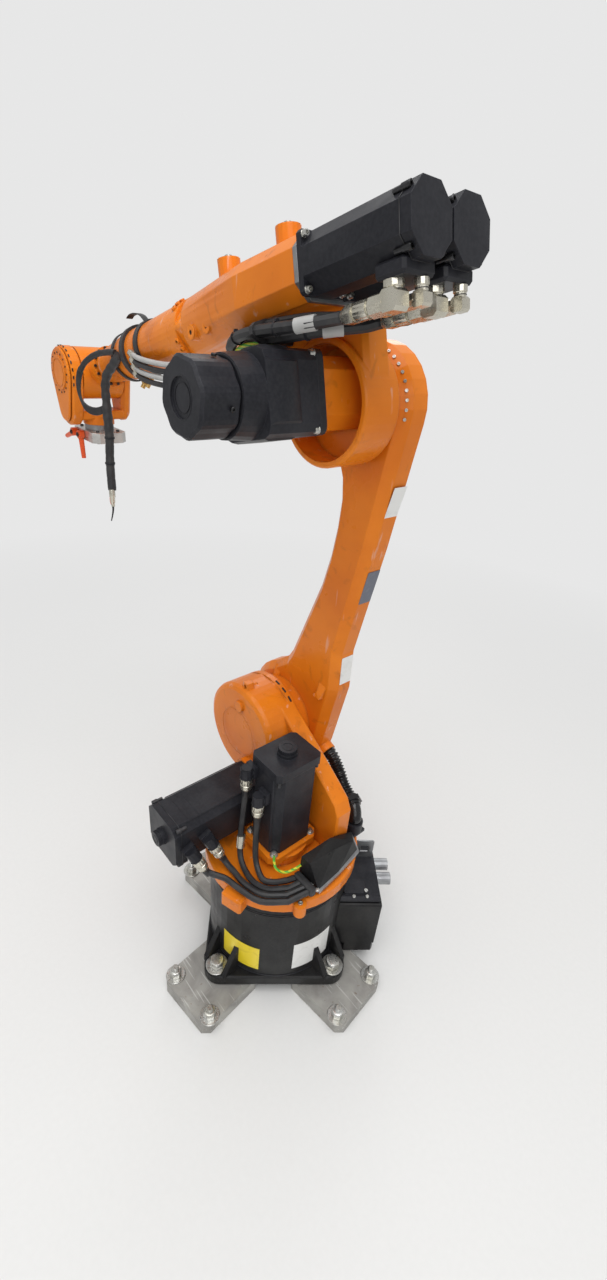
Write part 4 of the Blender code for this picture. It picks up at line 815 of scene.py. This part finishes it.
def wrist_connectors():
    """Collars, sealing rings, octagonal bodies and gland nuts on the plugs of the wrist motors."""
    bright, seals = Shape(), Shape()
    for radius, x, y, end in WRIST_PLUGS:
        down = facing(elbow_place, (x, y, 0.0852), (0, 0, -1))
        collar, knurl, gland = radius * 1.16, radius * 1.08, radius * 0.98
        bright.turned(down, [(0, -0.0002), (collar, -0.0002), (collar, 0.0052), (radius * 1.08, 0.006),
                             (radius * 1.02, 0.006), (0, 0.006)], 12)
        ring(seals, down, radius * 0.98, radius * 1.05, 0.0076, 0.0084)
        back = facing(elbow_place, (x, y, 0.0692), (1, 0, 0))
        reach = end - x
        bright.turned(back, [(0, radius * 0.9), (radius * 1.2, radius * 0.9), (radius * 1.2, reach * 0.4),
                             (radius * 1.1, reach * 0.42), (0, reach * 0.42)], 8)
        bright.turned(back, [(0, reach * 0.46), (radius * 1.04, reach * 0.46), (knurl, reach * 0.48, "knurl"),
                             (knurl, reach * 0.7, "knurl"), (gland, reach * 0.72), (0, reach * 0.72)], 36)
        bright.turned(back, [(0, reach * 0.76), (gland, reach * 0.76, "hex"), (gland, reach * 0.9, "hex"),
                             (radius * 0.84, reach * 0.99), (radius * 0.78, reach), (0, reach)], 24)
    piece("wrist_plug_collars", "forearm", nickel_trim, bright, 25)
    piece("wrist_plug_seals", "forearm", rubber, seals)


A3_HEIGHT = 0.01
FOREARM_SCREWS = ((0.2195, 41), (0.2195, 54), (0.2195, 67), (0.212, -24), (0.212, -41), (0.212, -57))


def forearm_details():
    """Flange, saddle and cap lines of the third motor, casting screws with painted shade in their sockets and
    holes, and the bright bolts.
    """
    flange = Shape()
    place = facing(elbow_place, (0, 0.0024, A3_HEIGHT), (0, 1, 0))
    flange.slab(place, rounded(0.0944, 0.0944, 0.01), 0.01, 0.0008)
    piece("a3_motor_flange", "forearm", small_coat, flange)
    saddle = Shape()
    place = elbow_place @ leftward((0, 0, A3_HEIGHT))
    saddle.skin([[place @ Vector((x, y, height)) for x, y in chamfered(size, size, corner)]
                 for size, corner, height in ((0.093, 0.0135, 0.04), (0.099, 0.019, 0.045),
                                              (0.099, 0.019, 0.08), (0.0945, 0.014, 0.0868))])
    piece("a3_motor_saddle", "forearm", small_coat, saddle)
    bright = Shape()
    for x, z in four_corners(0.0395, 0.0395):
        seat = facing(elbow_place, (x * 1.04, 0.0124, A3_HEIGHT + z * 1.04), (0, 1, 0))
        washer(bright, seat, 0.0052, 0.0012)
        socket_screw(bright, raised(seat, 0.0012), 0.0042, 0.005)
    for side in (-1, 1):
        for y, z in four_corners(0.024, 0.024):
            seat = facing(elbow_place, (-0.0847, side * 0.03 + y, ELBOW_OFFSET + z), (-1, 0, 0))
            washer(bright, seat, 0.0038, 0.001)
            socket_screw(bright, raised(seat, 0.001), 0.0032, 0.0048)
    for x in (0.115, -0.005):
        washer(bright, facing(elbow_place, (x, 0.003, 0.1855), UP), 0.0085)
        socket_screw(bright, facing(elbow_place, (x, 0.003, 0.187), UP), 0.005, 0.003)
    piece("forearm_bright_bolts", "forearm", zinc, bright)
    painted = Shape()
    # Painted shade: dark rings in the screw sockets and in the ringed holes stand for their shade.
    holes = Shape()
    for side in (1, -1):
        for x, degrees in FOREARM_SCREWS:
            angle = radians(degrees)
            out = Vector((0, side * cos(angle), sin(angle)))
            spot = Vector((x, 0, ELBOW_OFFSET)) + out * 0.0388
            socket_screw(painted, facing(elbow_place, spot, out), 0.004, 0.004)
            ring(holes, facing(elbow_place, spot + out * 0.0018, out), 0.0002, 0.0019, 0, 0.0003, 6)
        for x in (0.158, 0.12):
            place = facing(elbow_place, (x, side * 0.0461, 0.108), (0, side, 0))
            ring(painted, place, 0.003, 0.0092, 0, 0.0012)
            ring(holes, place, 0.0002, 0.003, 0, 0.0002, 20)
    piece("forearm_casting_screws", "forearm", orange_paint, painted)
    piece("forearm_hole_shade", "forearm", painted_shade_finish, holes)
    for name, side in (("left", 1), ("right", -1)):
        place = elbow_place @ basis(ACROSS, Vector((0, 0, -1)), Vector((0, side * 0.03, ELBOW_OFFSET)))
        motor_trim("wrist_motor_" + name, "forearm", place, 0.057, 0.057, 0.016, 0.2083, 0.0024)
    place = elbow_place @ leftward((0, 0, A3_HEIGHT))
    cap = Shape()
    ring(cap, place, 0.015, 0.0156, 0.1649, 0.1655, 48)
    ring(cap, place, 0.0212, 0.0222, 0.1673, 0.1677, 64)
    ring(cap, place, 0.042, 0.0438, 0.1166, 0.1178, 64)
    ring(cap, place, 0.0465, 0.0478, 0.0858, 0.0872, 8)
    piece("a3_cap_lines", "forearm", small_coat, cap)
    screws = Shape()
    for degrees in (22, 112, 202, 292):
        angle = radians(degrees)
        spot = (0.0418 * cos(angle), 0.13, A3_HEIGHT + 0.0418 * sin(angle))
        socket_screw(screws, facing(elbow_place, spot, (cos(angle), 0, sin(angle))), 0.003, 0.0026)
    piece("a3_cap_screws", "forearm", dark_steel, screws)


def tie(shape, centre, way, radius):
    """A cable tie pulled tight, with its square head."""
    place = facing(elbow_place, centre, way)
    ring(shape, place, radius, radius + 0.0009, -0.0016, 0.0016, 24)
    head = place @ Matrix.Translation((radius + 0.0012, 0, -0.002))
    shape.slab(head, rounded(0.003, 0.0046, 0.0006), 0.004, 0.0003)


LEAD_TIES = (
    ((0.04, 0.058, 0.079), (1, -0.25, 0)), ((0.052, 0.04, 0.069), (1, -0.45, -0.2)),
    ((-0.04, 0.061, 0.0735), (1, 0, 0.1)), ((-0.055, 0.031, 0.068), (1, 0.4, 0)),
)
LEAD_BOOTS = (
    ((-0.092, 0.0515, 0.0697), (-0.081, 0.056, 0.0699), (-0.07, 0.06, 0.07)),
    ((-0.086, 0.006, 0.068), (-0.078, 0.0145, 0.068), (-0.07, 0.022, 0.068)),
)
EARTH_ROUTE = (
    (0.07, 0.04, 0.059), (0.062, 0.047, 0.066), (0.04, 0.052, 0.07), (0.014, 0.051, 0.069),
    (-0.004, 0.046, 0.064), (-0.01, 0.044, 0.0585),
)


def lead_details():
    """Ties, pale boots and the earth lead that runs beside the motor leads."""
    ties = Shape()
    for spot, way in LEAD_TIES:
        tie(ties, spot, way, 0.0068)
    piece("lead_ties", "forearm", small_coat, ties)
    boots = Shape()
    for route in LEAD_BOOTS:
        boots.tube(route, 0.0077, 16, 4, elbow_place)
    piece("lead_boots", "forearm", grey_sheath, boots)
    earth = Shape()
    earth.tube(EARTH_ROUTE, 0.0022, 10, 8, elbow_place)
    piece("forearm_earth_lead", "forearm", green_sheath, earth)


SLEEVE_ROUTE = (
    (0.05, 0.039, -0.004), (0.078, 0.0415, -0.016), (0.098, 0.044, -0.026), (0.111, 0.045, -0.042),
    (0.1185, 0.045, -0.066), (0.125, 0.045, -0.092), (0.1309, 0.045, -0.1164),
)
LOOP_TRUNK = ((0.06, 0.04, 0.002), (0.078, 0.045, 0.006), (0.105, 0.056, 0.006), (0.128, 0.066, -0.002),
              (0.143, 0.072, -0.014))
LOOP_FAN = (((0.155, 0.075, -0.034), (0, 0.001, 0.0012)), ((0.16, 0.074, -0.054), (0.0016, 0, 0.0012)),
            ((0.156, 0.068, -0.072), (0.0022, 0, -0.0014)), ((0.144, 0.058, -0.08), (0.0012, 0, -0.0024)),
            ((0.13, 0.049, -0.078), (0, 0, -0.0022)), ((0.12, 0.045, -0.07), (0, 0, -0.001)))


SLEEVE_RADIUS = 0.0074
TRUNK_RADIUS = 0.0052
WIRE_RADIUS = 0.0019
WIRE_SPREAD = 0.0012


def wrist_dress():
    """The sleeve that hangs from the wrist strap, and the loop of leads beside it."""
    sleeve = Shape()

    def wrapped(travelled, total):
        return 1.0 + 0.07 * cos(tau * travelled / 0.018) + 0.1 * (travelled > total * 0.72)

    sleeve.tube(SLEEVE_ROUTE, SLEEVE_RADIUS, 16, 10, roll_place, wrapped)
    made = piece("wrist_sleeve", "wrist_roll", rubber, sleeve, 50)
    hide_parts("dress_sleeve")
    trunk = Shape()

    def narrowing(travelled, total):
        return 1 - 0.15 * travelled / total

    trunk.tube(LOOP_TRUNK, TRUNK_RADIUS, 14, 10, roll_place, narrowing)
    piece("wrist_loop_trunk", "wrist_roll", rubber, trunk, 50)
    loops = Shape()
    for i in range(5):
        fan = i - 2
        start = Vector(LOOP_TRUNK[-1]) + Vector((0, WIRE_SPREAD * fan, WIRE_SPREAD * fan))
        route = [Vector(LOOP_TRUNK[-2]), start]
        route += [Vector(spot) + Vector(spread) * fan for spot, spread in LOOP_FAN]
        loops.tube(route, WIRE_RADIUS, 10, 8, roll_place)
    made = piece("wrist_loops", "wrist_roll", rubber, loops, 60)
    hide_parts("dress_loop")


HANGING_ROUTE = (
    (0, 0, 0), (0, 0, -0.01), (0.0005, 0.0008, -0.022), (0.001, 0.0016, -0.034), (0.0014, 0.0022, -0.046),
    (0.0016, 0.0027, -0.058), (0.0017, 0.003, -0.07), (0.0016, 0.0032, -0.082), (0.0014, 0.0033, -0.094),
    (0.0012, 0.0033, -0.106),
)
BUNDLE_RADIUS = 0.0078
SILVER_PLUG = (
    (0, 0), (0.0048, 0), (0.0056, 0.004, "knurl"), (0.0056, 0.014, "knurl"), (0.0046, 0.016), (0.0046, 0.024),
    (0.0034, 0.026), (0.0034, 0.032), (0, 0.032),
)
ORANGE_PLUG = ((0, 0.01), (0.0042, 0.01), (0.005, 0.014), (0.005, 0.03), (0.0036, 0.036), (0, 0.036))
PLUG_NECK = ((0, 0), (0.0036, 0), (0.0036, 0.01), (0, 0.01))
TAIL_ROUTE = ((0, 0, 0), (0.002, -0.001, -0.01), (0.005, 0, -0.022), (0.011, 0.001, -0.036))


def hanging_bundle():
    """The free end of the hoses: a wrapped bundle with two plugs and a thin wire end."""
    exit_point = roll_place @ Vector(SLEEVE_ROUTE[-1])
    route = [exit_point + Vector(step) for step in HANGING_ROUTE]
    bundle = Shape()

    def tied(travelled, _total):
        return 1.0 - 0.04 * (cos(tau * travelled / 0.021) > 0.8)

    path = bundle.tube(route, BUNDLE_RADIUS, 16, 6, ribs=tied)
    made = piece("hanging_bundle", "wrist_roll", rubber, bundle, 50)
    low = route[-1]
    metal_plug, orange_plug, clips = Shape(), Shape(), Shape()
    silver = facing(world_place, low + Vector((-0.003, 0.002, 0.002)), (-0.1, 0.05, -1))
    metal_plug.turned(silver, SILVER_PLUG, 24)
    slanted = facing(world_place, low + Vector((0.0045, -0.001, 0.002)), (0.28, -0.1, -1))
    orange_plug.turned(slanted, ORANGE_PLUG, 20)
    metal_plug.turned(slanted, PLUG_NECK, 20)
    tail = Shape()
    tip = slanted @ Vector((0, 0, 0.036))

    def thinning(travelled, total):
        return 1 - 0.5 * travelled / total

    tail.tube([tip + Vector(step) for step in TAIL_ROUTE], 0.0022, 10, 5, ribs=thinning)
    for share in (0.12, 0.55):
        spot = path[int(share * (len(path) - 1))]
        place = facing(world_place, spot, UP)
        ring(clips, place, BUNDLE_RADIUS, BUNDLE_RADIUS + 0.0013, -0.0018, 0.0018, 20)
    plugs = [piece("bundle_silver_plug", "wrist_roll", nickel_trim, metal_plug),
             piece("bundle_orange_plug", "wrist_roll", lever_paint, orange_plug),
             piece("bundle_tail", "wrist_roll", rubber, tail),
             piece("bundle_clips", "wrist_roll", small_coat, clips)]


AIR_FITTING = (
    (0, -0.004), (0.0046, -0.004), (0.0052, -0.002, "hex"), (0.0052, 0.006, "hex"), (0.0044, 0.008),
    (0.0044, 0.013), (0, 0.013),
)
BRASS_FITTING = (
    (0, 0), (0.0042, 0), (0.0042, 0.006), (0.0052, 0.007, "hex"), (0.0052, 0.012, "hex"), (0.0036, 0.014),
    (0.0036, 0.02), (0, 0.02),
)
STRAP_TAIL = (
    (0.34, 0.012, 0.1605), (0.349, 0.014, 0.17), (0.362, 0.016, 0.175), (0.377, 0.017, 0.176),
    (0.388, 0.017, 0.1735),
)


def wrist_fittings():
    """Air hoses and their fittings at the nose of the forearm, with the straps and a loose strap end."""
    pale, dark, ends, gold = Shape(), Shape(), Shape(), Shape()
    for i, shape in enumerate((pale, dark, pale, dark)):
        y, z = 0.042 - 0.001 * i, 0.112 - 0.01 * i
        start = Vector((0.346, y, z))
        shape.tube((start, start + Vector((-0.022, 0.0035, -0.008)), start + Vector((-0.058, 0.0035, -0.019)),
                    start + Vector((-0.092, -0.006, -0.028)), start + Vector((-0.112, -0.016, -0.029))),
                   0.004, 12, 8, elbow_place)
        place = facing(elbow_place, start + Vector((0.01, -0.002, 0.004)), (-1, 0.15, -0.35))
        ends.turned(place, AIR_FITTING)
    for x, z in ((0.33, 0.079), (0.314, 0.0775)):
        place = facing(elbow_place, (x, 0.03, z), (0.35, 0.45, -0.8))
        gold.turned(place, BRASS_FITTING)
    piece("air_hoses_pale", "forearm", grey_sheath, pale)
    piece("air_hoses_black", "forearm", rubber, dark)
    piece("air_fittings", "forearm", nickel_trim, ends)
    piece("air_fittings_brass", "forearm", brass, gold)
    straps = Shape()
    nose = facing(elbow_place, (0.34, 0, ELBOW_OFFSET), (1, 0, 0))
    ring(straps, nose, 0.0368, 0.04, -0.006, 0.006, 48)
    band = rounded(0.011, 0.0016, 0.0006)
    straps.skin([[elbow_place @ (Vector(spot) + Vector((0, y, z))) for y, z in band]
                 for spot in smooth_path(STRAP_TAIL, 6)])
    piece("nose_strap", "forearm", rubber, straps)
    second = Shape()
    ring(second, facing(roll_place, (0.078, 0, 0), (1, 0, 0)), 0.0366, 0.0388, -0.004, 0.004, 48)
    piece("wrist_strap", "wrist_roll", rubber, second)


def wrist_details():
    """Screws round the roll ring and the belt cover, and dark plates painted along its seam as the shade of
    its slots.
    """
    ring_screws = Shape()
    for i in range(14):
        angle = tau * i / 14
        spot = (0.1712, 0.031 * cos(angle), 0.031 * sin(angle))
        socket_screw(ring_screws, facing(roll_place, spot, (-1, 0, 0)), 0.0024, 0.0026)
    piece("roll_ring_screws", "wrist_roll", dark_steel, ring_screws)
    cover = Shape()
    for i in range(16):
        angle = tau * i / 16
        spot = (0.0345 * cos(angle), BELT_COVER_Y, 0.0345 * sin(angle))
        socket_screw(cover, facing(bend_place, spot, (0, 1, 0)), 0.0016, 0.0011)
    # Painted shade: dark plates along the seam stand for the shaded slots there.
    for i in range(15):
        angle = radians(70 + 220 * i / 14)
        out = Vector((cos(angle), 0, sin(angle)))
        spot = out * (SWING_ARM_RADIUS + 0.0001) + ACROSS * 0.06
        place = bend_place @ basis(ACROSS, out.cross(ACROSS), spot)
        cover.slab(place, rounded(0.0026, 0.0062, 0.0011), 0.0006, 0.0002)
    piece("belt_cover_screws", "wrist_bend", dark_steel, cover)
    disc = Shape()
    place = facing(bend_place, (0, 0.0701, 0), (0, 1, 0))
    ring(disc, place, 0.0235, 0.0245, 0, 0.0006, 48)
    piece("belt_cover_line", "wrist_bend", orange_paint, disc)


def tool_details():
    """Screws on the tool plate and the pivots of its levers."""
    screws = Shape()
    low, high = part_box("tool_plate")
    for x in (low.x + 0.016, high.x - 0.016):
        for y in (low.y + 0.014, high.y - 0.014):
            socket_screw(screws, facing(world_place, (x, y, high.z), UP), 0.0034, 0.003)
            socket_screw(screws, facing(world_place, (x, y, low.z), (0, 0, -1)), 0.0034, 0.0026)
    for name in ("tool_lever_front", "tool_lever_rear"):
        near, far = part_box(name)
        pivot_x = near.x + 0.0083
        socket_screw(screws, facing(world_place, (pivot_x, far.y, far.z - 0.0083), (0, 1, 0)), 0.0042, 0.0026)
    piece("tool_screws", "tool_flange", dark_steel, screws)


FLOOR_REACH = 30
FADE_NEAR, FADE_FAR = 0.7, 2.6
WORLD_STRENGTH = 0.55
LAMP_AIM = Vector((0.2, 0, 0.6))
LAMPS = (
    ("overhead", (-0.4, 0.6, 3.2), 2.4, 58), ("front", (-2.6, 2.0, 2.4), 2.0, 24),
    ("back", (2.2, -2.2, 2.4), 1.6, 18),
)


def fade_floor(paint):
    """Far from the object the camera sees the floor in the backdrop's own tone."""
    away = paint.node("ShaderNodeVectorMath", {0: paint.where}, operation="LENGTH").outputs["Value"]
    seen = paint.node("ShaderNodeLightPath").outputs["Is Camera Ray"]
    share = paint.math("MULTIPLY", paint.spread(away, FADE_NEAR, FADE_FAR), seen)
    glow = paint.node("ShaderNodeEmission", {"Color": BACKDROP}).outputs[0]
    mixed = paint.node("ShaderNodeMixShader", {0: share, 1: paint.shader.outputs[0], 2: glow}).outputs[0]
    output = next(node for node in paint.tree.nodes if node.type == "OUTPUT_MATERIAL")
    paint.tree.links.new(mixed, output.inputs["Surface"])


def stage():
    """A pale floor that fades into the background, soft lights and a plain world."""
    floor_mesh = bpy.data.meshes.new("floor")
    sheet = bmesh.new()
    bmesh.ops.create_grid(sheet, x_segments=1, y_segments=1, size=FLOOR_REACH)
    sheet.to_mesh(floor_mesh)
    sheet.free()
    floor = bpy.data.objects.new("floor", floor_mesh)
    floor.location = (0, 0, cad_box[0].z)
    scene.collection.objects.link(floor)
    paint = Finish("floor_paint")
    speckle = paint.spread(paint.noise(120, 5), 0.3, 0.7, 0, 0.06)
    patches = paint.spread(paint.noise(1.5, 4), 0.3, 0.7, 0, 0.05)
    shade = paint.mixed(paint.math("ADD", speckle, patches), FLOOR_GREY, (0.55, 0.55, 0.54))
    floor_mesh.materials.append(paint.done(shade, paint.spread(paint.noise(40), 0.3, 0.7, 0.55, 0.7)))
    fade_floor(paint)
    world = bpy.data.worlds.new("studio")
    scene.world = world
    world.use_nodes = True
    tree = world.node_tree
    background = next(node for node in tree.nodes if node.type == "BACKGROUND")
    background.inputs["Strength"].default_value = WORLD_STRENGTH
    backdrop = tree.nodes.new("ShaderNodeBackground")
    backdrop.inputs["Color"].default_value = BACKDROP
    rays = tree.nodes.new("ShaderNodeLightPath")
    seen = tree.nodes.new("ShaderNodeMixShader")
    background.inputs["Color"].default_value = (1, 1, 1, 1)
    output = next(node for node in tree.nodes if node.type == "OUTPUT_WORLD")
    tree.links.new(rays.outputs["Is Camera Ray"], seen.inputs[0])
    tree.links.new(background.outputs[0], seen.inputs[1])
    tree.links.new(backdrop.outputs[0], seen.inputs[2])
    tree.links.new(seen.outputs[0], output.inputs["Surface"])
    for name, spot, size, power in LAMPS:
        data = bpy.data.lights.new(name, "AREA")
        data.size = size
        data.energy = power
        light = bpy.data.objects.new(name, data)
        light.location = spot
        light.rotation_euler = (LAMP_AIM - Vector(spot)).to_track_quat("-Z", "Y").to_euler()
        scene.collection.objects.link(light)


hanging_bundle()
wrist_dress()
link_hose()
dress_nodes()
base_details()
lower_connectors()
column_details()
link_details()
wrist_connectors()
forearm_details()
lead_details()
wrist_fittings()
wrist_details()
tool_details()
stage()

scene.view_settings.view_transform = "Standard"
